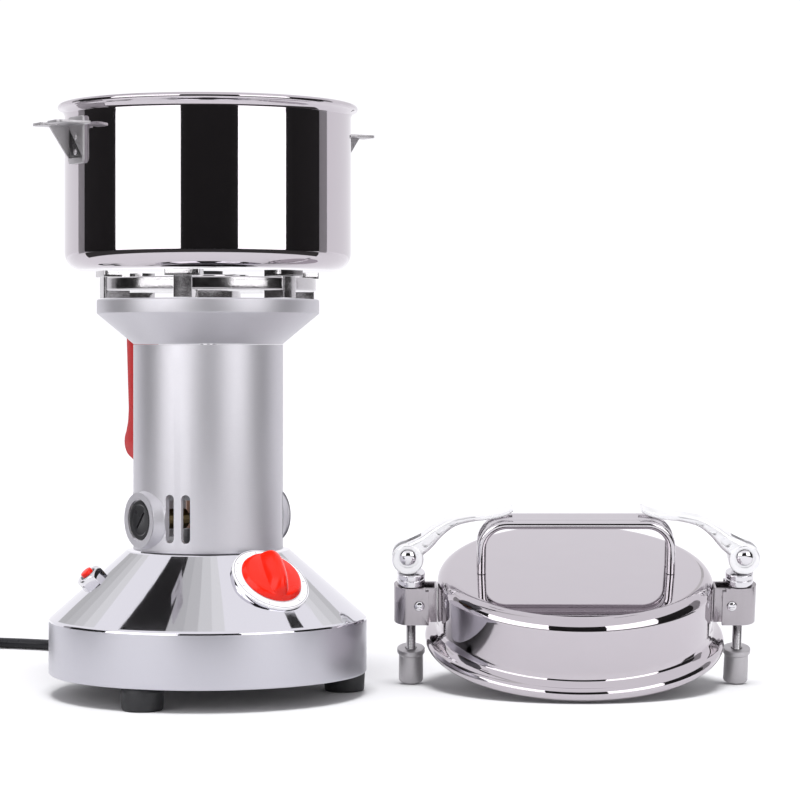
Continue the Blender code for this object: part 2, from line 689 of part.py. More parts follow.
def make_rear_handle():
    outer = [(0.0640, 0.2215), (0.0755, 0.2215), (0.0800, 0.2170), (0.0812, 0.2080), (0.0806, 0.1950),
             (0.0795, 0.1750), (0.0784, 0.1560), (0.0792, 0.1480)]
    outer += arc((0.0735, 0.1355), 0.0100, 38, -60, 6)
    outer += [(0.0690, 0.1225), (0.0560, 0.1165), (0.0400, 0.1150)]
    inner = [(0.0400, 0.1270), (0.0540, 0.1290), (0.0640, 0.1370), (0.0680, 0.1500), (0.0690, 0.1750),
             (0.0700, 0.1950), (0.0705, 0.2060), (0.0690, 0.2100), (0.0640, 0.2120)]
    outline = [(-y, z) for y, z in outer + inner]
    half = HANDLE_HALF_WIDTH
    handle = slab("rear_handle", outline, -half, half, RED, bevel=0.0020)
    handle.rotation_euler = (0, 0, -math.pi / 2)
    fit = rod("handle_fit", COLUMN_RADIUS + GAP, 0.05, 0.20, steps=LARGE_ROUND)
    fit_band = rod("handle_fit_band", COLLAR_RADIUS + GAP, 0.2050, 0.24, steps=LARGE_ROUND)
    cut(handle, fit, fit_band)


def make_cord():
    gland = turned("cord_gland", [(0.0, GLAND_END), (0.0040, GLAND_END), (0.0046, GLAND_END - 0.001),
                                  (0.0062, 0.0990), (0.0080, 0.0985), (0.0080, 0.0956),
                                  (0.0060, 0.0956), (0.0060, 0.0880), (0.0, 0.0880)],
                   BLACK, steps=SMALL_ROUND)
    gland.matrix_basis = Matrix.Translation((0, 0, GLAND_HEIGHT)) @ along_y()

    laid = FLOOR + CORD_RADIUS + 0.0002
    corners = [(0.0, GLAND_END + GAP, GLAND_HEIGHT), (0.0003, 0.1430, 0.0107), (0.0025, 0.1580, 0.0050),
               (0.0078, 0.1735, -0.0030), (0.0155, 0.1890, -0.0083), (0.0240, 0.2040, laid),
               (0.0315, 0.2190, laid), (0.0355, 0.2350, laid), (0.0325, 0.2510, laid),
               (0.0245, 0.2655, laid), (0.0148, 0.2795, laid), (0.0046, 0.2925, laid)]
    tube("cord_lead", smooth_route(corners, 2), CORD_RADIUS, BLACK)

    soft = 0.0025
    high = FLOOR + 2 * COIL_HALF
    inner = COIL_RADIUS - COIL_HALF
    outer = COIL_RADIUS + COIL_HALF
    profile = [(inner + soft, high), (outer - soft, high), (outer, high - soft), (outer, FLOOR + soft),
               (outer - soft, FLOOR), (inner + soft, FLOOR), (inner, FLOOR + soft), (inner, high - soft)]
    coil = turned("cord_coil", profile, BLACK)
    coil.location = (*COIL_MIDDLE, 0.0)

    turn_out = COIL_MIDDLE[0] - COIL_RADIUS - CORD_RADIUS
    start = COIL_MIDDLE[1] - PLUG_START
    middle = FLOOR + 0.0092
    plug = block("cord_plug", (turn_out - 0.0130, start - 0.0500, FLOOR + 0.0002),
                 (turn_out + 0.0130, start - 0.0140, FLOOR + 0.0184), BLACK, bevel=0.0030)
    relief = turned("plug_relief", [(0.0, 0.0), (0.0040, 0.0), (0.0062, -0.0160), (0.0, -0.0160)])
    relief.matrix_basis = Matrix.Translation((turn_out, start, laid + 0.0016)) @ along_y()
    blades = [block(f"plug_blade_{side}", (turn_out + side * 0.0063 - 0.0008, start - 0.0665, middle - 0.0032),
                    (turn_out + side * 0.0063 + 0.0008, start - 0.0480, middle + 0.0032))
              for side in (-1, 1)]
    join(plug, relief, *blades)


# --- Lid ---------------------------------------------------------------------------------------------


def lid_matrix():
    """The lid's frame where it rests."""
    front = Matrix.Rotation(LID_TURN, 4, "Z") @ Matrix.Rotation(LID_LEAN, 4, "X")
    nut_edge = CLAMP_NUT_RADIUS - CLAMP_NUT_CHAMFER
    drop = -CLAMP_NUT_LOW * math.cos(LID_LEAN) + nut_edge * math.sin(LID_LEAN)
    forward = -CLAMP_NUT_LOW * math.sin(LID_LEAN)
    away = Vector((-math.sin(LID_TURN), math.cos(LID_TURN), 0.0))
    place = Vector((*LID_NUTS, FLOOR + drop + 0.0002)) - away * forward
    return Matrix.Translation(place) @ front


def make_lid(lid):
    corner = (LID_RADIUS - LID_CORNER, LID_HEIGHT - LID_CORNER)
    inner = LID_RADIUS - LID_WALL
    profile = [(0.0, LID_HEIGHT)]
    profile += arc(corner, LID_CORNER, 90, 0, 4)
    profile += [(LID_RADIUS, 0.0150), (0.0848, 0.0118), (0.0866, 0.0098)]
    profile += arc((RIM_RADIUS - 0.0044, 0.0045), 0.0044, 70, -60, 4)
    profile += [(0.0868, 0.0), (0.0862, 0.0012), (0.0860, 0.0060), (0.0852, 0.0092), (inner, 0.0130)]
    profile += arc(corner, LID_CORNER - LID_WALL, 0, 90, 4)
    profile += [(0.0, LID_HEIGHT - LID_WALL)]
    turned("lid_shell", profile, MIRROR, lid, LARGE_ROUND)
    ring("lid_gasket", 0.0790, 0.0856, 0.0014, 0.0054, SILICONE, lid)

    out = STRAP_HALF_LENGTH
    sheet = STRAP_SHEET
    middle = (out - STRAP_CORNER, STRAP_TOP - STRAP_CORNER)
    foot = LID_HEIGHT + GAP
    half = [(out, foot)] + arc(middle, STRAP_CORNER, 0, 90, 8)
    inside = arc(middle, STRAP_CORNER - sheet, 90, 0, 8) + [(out - sheet, foot)]
    outline = half + [(-x, z) for x, z in reversed(half)]
    outline += [(-x, z) for x, z in reversed(inside)] + inside
    slab("lid_handle", outline, -STRAP_HALF_WIDTH, STRAP_HALF_WIDTH, CHROME, lid, bevel=0.0009)


# --- Clamps --------------------------------------------------------------------------------------------


def lever_outline():
    """The arm from the cam to its upturned tip, from middle points and half widths."""
    spine = [((0.0995, 0.0610), 0.0064), ((0.0915, 0.0664), 0.0052), ((0.0835, 0.0738), 0.0038),
             ((0.0745, 0.0797), 0.0028), ((0.0640, 0.0824), 0.0023), ((0.0550, 0.0834), 0.0020),
             ((0.0480, 0.0845), 0.0017), ((0.0425, 0.0862), 0.0014), ((0.0390, 0.0882), 0.0012)]
    upper = []
    lower = []
    for i, (place, half) in enumerate(spine):
        before = Vector(spine[max(i - 1, 0)][0])
        after = Vector(spine[min(i + 1, len(spine) - 1)][0])
        side = (after - before).normalized().orthogonal() * half
        upper.append(tuple(Vector(place) - side))
        lower.append(tuple(Vector(place) + side))
    return upper + lower[::-1]


def make_clamp(lid, label, turn):
    frame = empty(f"clamp_frame_{label}", Matrix.Rotation(turn, 4, "Z"), lid)
    across = Matrix.Rotation(-math.pi / 2, 4, "X")

    ear = EAR_HALF_WIDTH
    outline = [(LID_RADIUS + GAP, 0.0160), (0.0962, 0.0160), (0.0979, 0.0215)]
    outline += arc(HINGE, 0.0030, 0, 25, 2)
    outline += [(0.0925, 0.0380), (LID_RADIUS + GAP, 0.0380)]
    bracket = slab(f"clamp_bracket_{label}", outline, -ear, ear, STEEL, frame)
    hinge_hole = rod(f"hinge_hole_{label}", 0.0019, -0.02, 0.02)
    hinge_hole.parent = frame
    hinge_hole.matrix_basis = Matrix.Translation((HINGE[0], 0, HINGE[1])) @ across
    between = block(f"ear_gap_{label}", (LID_RADIUS + 0.0018, -ear + 0.0015, 0.0), (0.1100, ear - 0.0015, 0.0600))
    between.parent = frame
    cut(bracket, between, hinge_hole)

    side = BLOCK_HALF_WIDTH + GAP
    rivet = turned(f"clamp_rivet_{label}", [(0.0, side + 0.0011), (0.0020, side + 0.0011),
                                            (0.0031, side + 0.0004), (0.0031, side), (0.0016, side),
                                            (0.0016, -side), (0.0031, -side), (0.0031, -side - 0.0004),
                                            (0.0020, -side - 0.0011), (0.0, -side - 0.0011)],
                   STEEL, frame, SMALL_ROUND)
    rivet.matrix_basis = Matrix.Translation((HINGE[0], 0, HINGE[1])) @ across

    make_clamp_block(frame, label, hinge_hole)
    seat = turned(f"clamp_seat_{label}", [(0.0035, SEAT_TOP), (SEAT_RADIUS, SEAT_TOP),
                                          (SEAT_RADIUS, SEAT_TOP - 0.0032), (SEAT_RADIUS - 0.0006, SEAT_TOP - 0.0036),
                                          (SEAT_RADIUS, SEAT_TOP - 0.0040), (SEAT_RADIUS, BLOCK_HIGH + GAP),
                                          (0.0035, BLOCK_HIGH + GAP)], CHROME, frame, 24)
    seat.location = (ROD_PLACE, 0, 0)
    make_clamp_bolt(frame, label, across)
    make_clamp_lever(frame, label, across)

    low = CLAMP_NUT_LOW
    chamfer = CLAMP_NUT_CHAMFER
    flange = CLAMP_NUT_FLANGE
    barrel = CLAMP_NUT_RADIUS
    nut = turned(f"clamp_nut_{label}", [(0.0, -0.0225), (0.0034, -0.0225), (0.0034, CLAMP_NUT_TOP),
                                        (flange - 0.0005, CLAMP_NUT_TOP), (flange, CLAMP_NUT_TOP - 0.0005),
                                        (flange, CLAMP_NUT_TOP - 0.0035), (barrel, CLAMP_NUT_TOP - 0.0045),
                                        (barrel, low + chamfer), (barrel - chamfer, low), (0.0, low)],
                 STEEL, frame, 24)
    nut.location = (ROD_PLACE, 0, 0)


def make_clamp_block(frame, label, hinge_hole):
    """A folded sheet box, open towards the lid, with a round outer end and the bolt's bore."""
    half = BLOCK_HALF_WIDTH
    outline = arc((BLOCK_OUTER - half, 0.0), half, -90, 90, 12)
    outline += [(BLOCK_INNER, half), (BLOCK_INNER, -half)]
    box = slab(f"clamp_block_{label}", outline, BLOCK_LOW, BLOCK_HIGH, STEEL, frame, lying=True)
    room = EAR_HALF_WIDTH + 0.0004
    slot = block(f"block_slot_{label}", (0.0800, -room, 0.0), (0.0986, room, 0.0600))
    slot.parent = frame
    bore = rod(f"block_bore_{label}", 0.0034, 0.0, 0.0600)
    bore.parent = frame
    bore.location = (ROD_PLACE, 0, 0)
    cut(box, slot, bore, hinge_hole)


def make_clamp_bolt(frame, label, across):
    flat = 0.0020
    bolt = rod(f"clamp_bolt_{label}", ROD_RADIUS, -0.0120, 0.0462, STEEL, frame)
    bolt.location = (ROD_PLACE, 0, 0)
    shank = block(f"bolt_shank_{label}", (ROD_PLACE - 0.0026, -flat, 0.0430), (ROD_PLACE + 0.0028, flat, PIN[1]))
    shank.parent = frame
    eye = rod(f"bolt_eye_{label}", 0.0058, -flat, flat)
    eye.parent = frame
    eye.matrix_basis = Matrix.Translation((PIN[0], 0, PIN[1])) @ across
    hole = rod(f"bolt_hole_{label}", PIN_RADIUS + GAP, -0.01, 0.01)
    hole.parent = frame
    hole.matrix_basis = eye.matrix_basis
    join(bolt, shank, eye)
    cut(bolt, hole)


def make_clamp_lever(frame, label, across):
    half = LEVER_HALF_WIDTH
    lever = slab(f"clamp_lever_{label}", lever_outline(), -half, half, CAST, frame, bevel=0.0008)
    at_pin = Matrix.Translation((PIN[0], 0, PIN[1])) @ across
    cam = rod(f"lever_cam_{label}", CAM_RADIUS, -half, half, steps=24)
    cam.parent = frame
    cam.matrix_basis = Matrix.Translation((PIN[0], 0, PIN[1] - CAM_OFFSET)) @ across
    fork = block(f"lever_fork_{label}", (PIN[0] - 0.0080, -FORK_HALF_WIDTH, 0.0400),
                 (0.1250, FORK_HALF_WIDTH, 0.0800))
    fork.parent = frame
    hole = rod(f"lever_hole_{label}", PIN_RADIUS + GAP, -0.02, 0.02)
    hole.parent = frame
    hole.matrix_basis = at_pin
    join(lever, cam)
    cut(lever, fork, hole)

    side = half + GAP
    dome = [(0.0, side + 0.0022), (0.0022, side + 0.0019), (0.0040, side + 0.0010), (PIN_HEAD, side)]
    profile = dome + [(PIN_RADIUS, side)] + [(radius, -height) for radius, height in
                                             [(PIN_RADIUS, side)] + dome[::-1]]
    pin = turned(f"lever_pin_{label}", profile, CHROME, frame, SMALL_ROUND)
    pin.matrix_basis = at_pin


make_feet()
make_base()
make_column()
make_collar()
make_bracket()
make_bowl()
make_catches()
make_timer()
make_breaker()
make_brushes()
make_motor()
make_blades()
make_rear_handle()
make_cord()
LID = empty("lid_frame", lid_matrix())
make_lid(LID)
make_clamp(LID, "right", 0.0)
make_clamp(LID, "left", math.pi)

for part in PARTS.objects:
    if part.type == "MESH" and part.data.polygons:
        smooth(part.data)
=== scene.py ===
"""Looks of the bench hammer mill: detailed meshes and procedural materials around the CAD frame, a studio
staged for the photograph's reflections, and the camera. Metres, in the CAD's frame."""

import math

import bmesh
import bpy
from mathutils import Matrix, Vector


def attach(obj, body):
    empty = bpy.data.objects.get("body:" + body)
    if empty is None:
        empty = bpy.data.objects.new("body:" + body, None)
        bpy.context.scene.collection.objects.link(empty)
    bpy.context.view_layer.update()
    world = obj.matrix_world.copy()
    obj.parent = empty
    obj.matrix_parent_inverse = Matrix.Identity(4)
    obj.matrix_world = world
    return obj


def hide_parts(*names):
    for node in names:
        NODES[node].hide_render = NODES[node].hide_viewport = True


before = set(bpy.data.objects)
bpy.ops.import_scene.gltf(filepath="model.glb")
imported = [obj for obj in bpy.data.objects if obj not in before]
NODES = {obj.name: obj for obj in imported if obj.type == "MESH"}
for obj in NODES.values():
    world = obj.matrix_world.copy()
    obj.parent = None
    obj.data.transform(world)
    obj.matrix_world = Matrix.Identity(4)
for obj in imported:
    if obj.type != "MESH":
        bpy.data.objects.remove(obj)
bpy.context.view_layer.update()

FLOOR = -0.0132
CORD_RADIUS = 0.0035
LAID = FLOOR + CORD_RADIUS + 0.0002  # the middle of a cord that lies on the floor
TURNED = math.radians(-37.0)  # the camera and the lid face this way
BOWL_FLOOR = 0.2395
BOWL_CORNER = 0.0110
CATCH_TURN = -5.0
BRUSH_HEIGHT = 0.0920
GLAND_HEIGHT = 0.0120
# Reflections leave out the machine's, rotor's, knob's and button's other pieces, as the photograph's do.
SEEN_IN_MIRRORS = ("bowl_catch_right", "bowl_catch_left", "base_shell")


# --- Materials -----------------------------------------------------------------------------------


def material(name, slot, colour, metallic, roughness, vary, rough_vary, scale, bump, bump_scale=None,
             stretch=(1.0, 1.0, 1.0), specular=0.5, specks=None):
    """A principled material whose colour, roughness and surface vary by noise in object space."""
    made = bpy.data.materials.new(name)
    made.use_nodes = True
    made["slot"] = slot
    nodes = made.node_tree.nodes
    links = made.node_tree.links
    shader = nodes["Principled BSDF"]
    shader.inputs["Base Color"].default_value = (*colour, 1.0)
    shader.inputs["Metallic"].default_value = metallic
    shader.inputs["Roughness"].default_value = roughness
    shader.inputs["Specular IOR Level"].default_value = specular
    place = nodes.new("ShaderNodeTexCoord")
    spread = nodes.new("ShaderNodeMapping")
    spread.inputs["Scale"].default_value = stretch
    links.new(place.outputs["Object"], spread.inputs["Vector"])

    def noise(at, detail=3.0):
        found = nodes.new("ShaderNodeTexNoise")
        found.inputs["Scale"].default_value = at
        found.inputs["Detail"].default_value = detail
        links.new(spread.outputs["Vector"], found.inputs["Vector"])
        return found.outputs["Fac"]

    def remap(source, to_low, to_high, low=0.0, high=1.0):
        found = nodes.new("ShaderNodeMapRange")
        for label, value in (("From Min", low), ("From Max", high), ("To Min", to_low), ("To Max", to_high)):
            found.inputs[label].default_value = value
        links.new(source, found.inputs["Value"])
        return found.outputs["Result"]

    def times(factor, tint=None):
        found = nodes.new("ShaderNodeMix")
        found.data_type = "RGBA"
        found.blend_type = "MULTIPLY"
        found.inputs["Factor"].default_value = 1.0
        found.inputs["A"].default_value = (*colour, 1.0)
        if tint:
            links.new(tint, found.inputs["A"])
        links.new(factor, found.inputs["B"])
        return found.outputs["Result"]

    tint = times(remap(noise(scale), 1.0 - vary, 1.0 + vary))
    if specks:
        fineness, strength = specks
        fine = nodes.new("ShaderNodeTexVoronoi")
        fine.inputs["Scale"].default_value = fineness
        links.new(spread.outputs["Vector"], fine.inputs["Vector"])
        tint = times(remap(fine.outputs["Distance"], 1.0 + strength, 1.0 - strength, high=0.8), tint)
    links.new(tint, shader.inputs["Base Color"])
    smear = noise(scale * 0.35, 4.0)
    rough = remap(smear, max(roughness - rough_vary, 0.01), roughness + rough_vary, low=0.3, high=0.7)
    links.new(rough, shader.inputs["Roughness"])
    relief = nodes.new("ShaderNodeBump")
    relief.inputs["Strength"].default_value = bump
    relief.inputs["Distance"].default_value = 0.0002
    links.new(noise(bump_scale or scale), relief.inputs["Height"])
    links.new(relief.outputs["Normal"], shader.inputs["Normal"])
    return made


CONE_PAINT = material("gloss_silver_paint", "silver_paint", (0.70, 0.692, 0.735), 1.0, 0.045, vary=0.012,
                      rough_vary=0.008, scale=900, bump=0.008, bump_scale=90, specks=(6000, 0.02))
# The base's lower band takes the cone's silver paint, rougher and in a darker tone; the darker tone is
# painted shade.
SHADED_BAND_PAINT = material("satin_silver_paint_painted_shade", "silver_paint", (0.545, 0.54, 0.585), 0.95, 0.33, vary=0.012,
                      rough_vary=0.02, scale=900, bump=0.02, bump_scale=700, specks=(6000, 0.02))
PAINT = material("silver_paint", "silver_paint", (0.61, 0.60, 0.635), 0.9, 0.47, vary=0.012,
                 rough_vary=0.02, scale=900, bump=0.02, bump_scale=700, specks=(6000, 0.02))
MIRROR = material("polished_stainless", "polished_stainless", (0.535, 0.500, 0.530), 1.0, 0.030, vary=0.015,
                  rough_vary=0.012, scale=60, bump=0.015, bump_scale=35)
CHROME = material("bright_chrome", "chromed_steel", (0.72, 0.71, 0.735), 1.0, 0.05, vary=0.02,
                  rough_vary=0.02, scale=200, bump=0.02, bump_scale=120)
POLISHED = material("polished_strap", "polished_stainless", (0.60, 0.575, 0.60), 1.0, 0.035, vary=0.02,
                    rough_vary=0.015, scale=200, bump=0.015, bump_scale=120)
SHEET = material("stainless_sheet", "stainless_sheet", (0.42, 0.395, 0.415), 1.0, 0.20, vary=0.05,
                 rough_vary=0.06, scale=700, stretch=(1.0, 1.0, 0.08), bump=0.05)
NUT_METAL = material("bead_blasted_steel", "stainless_sheet", (0.50, 0.485, 0.50), 0.9, 0.45, vary=0.05,
                     rough_vary=0.05, scale=900, bump=0.15)
CAST = material("cast_aluminium", "cast_aluminium", (0.50, 0.485, 0.50), 1.0, 0.16, vary=0.05,
                rough_vary=0.06, scale=500, bump=0.12, bump_scale=700)
LEVER = material("satin_aluminium", "cast_aluminium", (0.86, 0.86, 0.87), 0.85, 0.32, vary=0.04,
                 rough_vary=0.06, scale=450, bump=0.10, bump_scale=650)
STEEL = material("machined_steel", "steel", (0.50, 0.49, 0.50), 1.0, 0.20, vary=0.05, rough_vary=0.06,
                 scale=800, stretch=(1.0, 1.0, 0.3), bump=0.06)
IRON = material("laminated_iron", "laminated_iron", (0.16, 0.16, 0.17), 0.8, 0.5, vary=0.25,
                rough_vary=0.1, scale=900, stretch=(0.05, 0.05, 4.0), bump=0.3)
# Copper and brass are given dark tones and lower metallic as painted shade for the inside of the column; the
# cord plug's pins use the same darkened brass.
SHADED_COPPER = material("wound_copper_painted_shade", "copper", (0.30, 0.12, 0.05), 0.5, 0.45, vary=0.2, rough_vary=0.1,
                  scale=700, stretch=(1.0, 1.0, 0.2), bump=0.4)
SHADED_BRASS = material("machined_brass_painted_shade", "brass", (0.16, 0.115, 0.05), 0.7, 0.35, vary=0.06, rough_vary=0.06,
                 scale=600, bump=0.06)
CARBON = material("pressed_carbon", "carbon", (0.03, 0.03, 0.032), 0.0, 0.7, vary=0.3, rough_vary=0.1,
                  scale=900, bump=0.2)
RUBBER = material("black_rubber", "black_rubber", (0.012, 0.012, 0.014), 0.0, 0.6, vary=0.2,
                  rough_vary=0.08, scale=500, bump=0.2, bump_scale=900)
BLACK = material("black_plastic", "black_plastic", (0.014, 0.014, 0.016), 0.0, 0.30, vary=0.15,
                 rough_vary=0.05, scale=400, bump=0.06, bump_scale=800, specular=0.2)
RED = material("gloss_red_plastic", "red_plastic", (0.70, 0.012, 0.003), 0.0, 0.25, vary=0.05,
               rough_vary=0.04, scale=120, bump=0.04, bump_scale=220, specular=0.3)
DARK_RED = material("red_handle_plastic", "red_plastic", (0.50, 0.008, 0.010), 0.0, 0.34, vary=0.06,
                    rough_vary=0.05, scale=150, bump=0.08, bump_scale=500, specular=0.35)
DIAL = material("dial_foil", "dial_foil", (0.80, 0.80, 0.82), 0.35, 0.22, vary=0.02, rough_vary=0.03,
                scale=500, bump=0.02)
INK = material("dial_ink", "dial_foil", (0.16, 0.16, 0.18), 0.0, 0.45, vary=0.1, rough_vary=0.05,
               scale=900, bump=0.02)
SILICONE = material("white_silicone", "white_silicone", (0.78, 0.78, 0.75), 0.0, 0.55, vary=0.04,
                    rough_vary=0.05, scale=300, bump=0.08)


# --- Meshes ------------------------------------------------------------------------------------------


def mesh_of(shape):
    bmesh.ops.recalc_face_normals(shape, faces=shape.faces)
    mesh = bpy.data.meshes.new("shape")
    shape.to_mesh(mesh)
    shape.free()
    return mesh


def rounded(corners, steps=5, closed=True):
    """An outline with its corners rounded. A corner is (x, y) or, to round it, (x, y, radius)."""
    count = len(corners)
    found = []
    for i, corner in enumerate(corners):
        here = Vector(corner[:2])
        radius = corner[2] if len(corner) > 2 else 0.0
        at_end = not closed and i in (0, count - 1)
        if radius <= 0 or at_end:
            found.append(tuple(here))
            continue
        to_last = Vector(corners[i - 1][:2]) - here
        to_next = Vector(corners[(i + 1) % count][:2]) - here
        half = to_last.angle(to_next) / 2
        back = min(radius / math.tan(half), to_last.length * 0.49, to_next.length * 0.49)
        radius = back * math.tan(half)
        to_last.normalize()
        to_next.normalize()
        middle = here + (to_last + to_next).normalized() * (radius / math.sin(half))
        start = here + to_last * back - middle
        turn = start.angle_signed(here + to_next * back - middle)
        for k in range(steps + 1):
            swing = -turn * k / steps
            c, s = math.cos(swing), math.sin(swing)
            found.append((middle.x + start.x * c - start.y * s, middle.y + start.x * s + start.y * c))
    return found


def lathe(profile, steps=128):
    """A profile of (radius, height) points turned about Z: closed, or from the axis to the axis."""
    shape = bmesh.new()
    rings = []
    for radius, height in profile:
        if radius < 1e-7:
            rings.append([shape.verts.new((0.0, 0.0, height))])
            continue
        turn = 2 * math.pi / steps
        rings.append([shape.verts.new((radius * math.cos(turn * i), radius * math.sin(turn * i), height))
                      for i in range(steps)])
    pairs = list(zip(rings, rings[1:]))
    if profile[0][0] > 1e-7:
        pairs.append((rings[-1], rings[0]))
    for a, b in pairs:
        for i in range(steps):
            j = (i + 1) % steps
            corners = [a[i % len(a)], a[j % len(a)], b[j % len(b)], b[i % len(b)]]
            shape.faces.new(dict.fromkeys(corners))
    return mesh_of(shape)


def prism(outline, low, high, lying=False):
    """An outline of (x, z) points made thick along Y, or a lying one of (x, y) points along Z."""
    shape = bmesh.new()
    bottom = []
    top = []
    for u, v in outline:
        bottom.append(shape.verts.new((u, v, low) if lying else (u, low, v)))
        top.append(shape.verts.new((u, v, high) if lying else (u, high, v)))
    shape.faces.new(bottom)
    shape.faces.new(top)
    for i in range(len(outline)):
        j = (i + 1) % len(outline)
        shape.faces.new((bottom[i], bottom[j], top[j], top[i]))
    return mesh_of(shape)


def brick(low, high):
    (x0, y0, z0), (x1, y1, z1) = low, high
    return prism([(x0, y0), (x1, y0), (x1, y1), (x0, y1)], z0, z1, lying=True)


def disc(radius, low, high, steps=64, edge=0.0):
    """A solid round piece on Z, with its rims rounded."""
    return lathe(rounded([(0.0, high), (radius, high, edge), (radius, low, edge), (0.0, low)], 4, False),
                 steps)


def ring_mesh(inner, outer, low, high, edge=0.0003, steps=96):
    return lathe(rounded([(inner, high, edge), (outer, high, edge), (outer, low, edge),
                          (inner, low, edge)], 4), steps)


def hexagon(across, low, high):
    """A six-sided bar on Z, this wide across its flats, and the distance to its corners."""
    radius = across / math.sqrt(3)
    turns = [math.radians(60 * i) for i in range(6)]
    return prism([(radius * math.cos(a), radius * math.sin(a)) for a in turns], low, high, lying=True), radius


def sweep(stations):
    """A closed skin over rings of points, all with the same count, in order along a path."""
    shape = bmesh.new()
    rings = [[shape.verts.new(p) for p in station] for station in stations]
    for a, b in zip(rings, rings[1:]):
        for i in range(len(a)):
            j = (i + 1) % len(a)
            shape.faces.new((a[i], a[j], b[j], b[i]))
    shape.faces.new(rings[0])
    shape.faces.new(rings[-1])
    return mesh_of(shape)


def smooth_route(corners, spans):
    """A curve through the corners, as points, with this many to each span."""
    found = []
    for i in range(len(corners) - 1):
        before = Vector(corners[max(i - 1, 0)])
        start = Vector(corners[i])
        end = Vector(corners[i + 1])
        after = Vector(corners[min(i + 2, len(corners) - 1)])
        for k in range(spans):
            t = k / spans
            bend = (2 * before - 5 * start + 4 * end - after) * t * t
            twist = (3 * start - before - 3 * end + after) * t * t * t
            found.append((2 * start + (end - before) * t + bend + twist) / 2)
    found.append(Vector(corners[-1]))
    return found


def loose(mesh, matrix=None):
    thing = bpy.data.objects.new("tool", mesh)
    bpy.context.scene.collection.objects.link(thing)
    if matrix:
        thing.matrix_world = matrix
    return thing


def piece(name, mesh, finish, body="machine", stands_for=None, matrix=None, cuts=(), joins=(), edge=0.0,
          sharp=32.0, edge_angle=40.0, edge_steps=3):
    """A visible piece: the mesh with others joined and cut, its edges rounded, placed and riding on a
    body. cuts and joins hold meshes, or (mesh, matrix) pairs in the piece's own frame. It stands for the
    CAD node of its own name unless told otherwise."""
    thing = bpy.data.objects.new(name, mesh)
    bpy.context.scene.collection.objects.link(thing)
    tools = []
    for operation, others in (("UNION", joins), ("DIFFERENCE", cuts)):
        for other in others:
            tool = loose(*other) if isinstance(other, tuple) else loose(other)
            tools.append(tool)
            step = thing.modifiers.new("carve", "BOOLEAN")
            step.operation = operation
            step.object = tool
    if edge:
        soften = thing.modifiers.new("edge", "BEVEL")
        soften.width = edge
        soften.segments = edge_steps
        soften.limit_method = "ANGLE"
        soften.angle_limit = math.radians(edge_angle)
    if thing.modifiers:
        bpy.context.view_layer.update()
        found = thing.evaluated_get(bpy.context.evaluated_depsgraph_get())
        made = bpy.data.meshes.new_from_object(found)
        thing.modifiers.clear()
        thing.data = made
        bpy.data.meshes.remove(mesh)
    for tool in tools:
        old = tool.data
        bpy.data.objects.remove(tool)
        bpy.data.meshes.remove(old)
    thing.data.materials.clear()
    thing.data.materials.append(finish)
    thing.data.shade_smooth()
    thing.data.set_sharp_from_angle(angle=math.radians(sharp))
    thing.data.name = name
    if matrix:
        thing.matrix_world = matrix
    thing.visible_glossy = body == "lid" or body.startswith("clamp") or name in SEEN_IN_MIRRORS
    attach(thing, body)
    nodes = [name.removesuffix("_looks")] if stands_for is None else stands_for
    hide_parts(*nodes)
    return thing


def around(radius, angle, height):
    """A point at an angle in degrees round the machine, from the front, -Y, towards +X."""
    turn = math.radians(angle)
    return Vector((radius * math.sin(turn), -radius * math.cos(turn), height))


CONE_FOOT = (0.0940, 0.0331)
CONE_TOP = (0.0487, 0.0728)
CONE_TILT = math.atan2(CONE_TOP[1] - CONE_FOOT[1], CONE_FOOT[0] - CONE_TOP[0])


def cone_height(radius):
    return CONE_FOOT[1] + (CONE_FOOT[0] - radius) * math.tan(CONE_TILT)


def turn_z(degrees):
    return Matrix.Rotation(math.radians(degrees), 4, "Z")


def cone_frame(radius, angle):
    place = Matrix.Translation(around(radius, angle, cone_height(radius)))
    return place @ turn_z(angle) @ Matrix.Rotation(CONE_TILT, 4, "X")


def along_x(side):
    return Matrix.Rotation(side * math.pi / 2, 4, "Y")


ALONG_Y = Matrix.Rotation(-math.pi / 2, 4, "X")
DIAL_FRAME = cone_frame(0.0655, 0.0)
BREAKER_FRAME = cone_frame(0.0697, -103.0)


# --- Machine -----------------------------------------------------------------------------------------


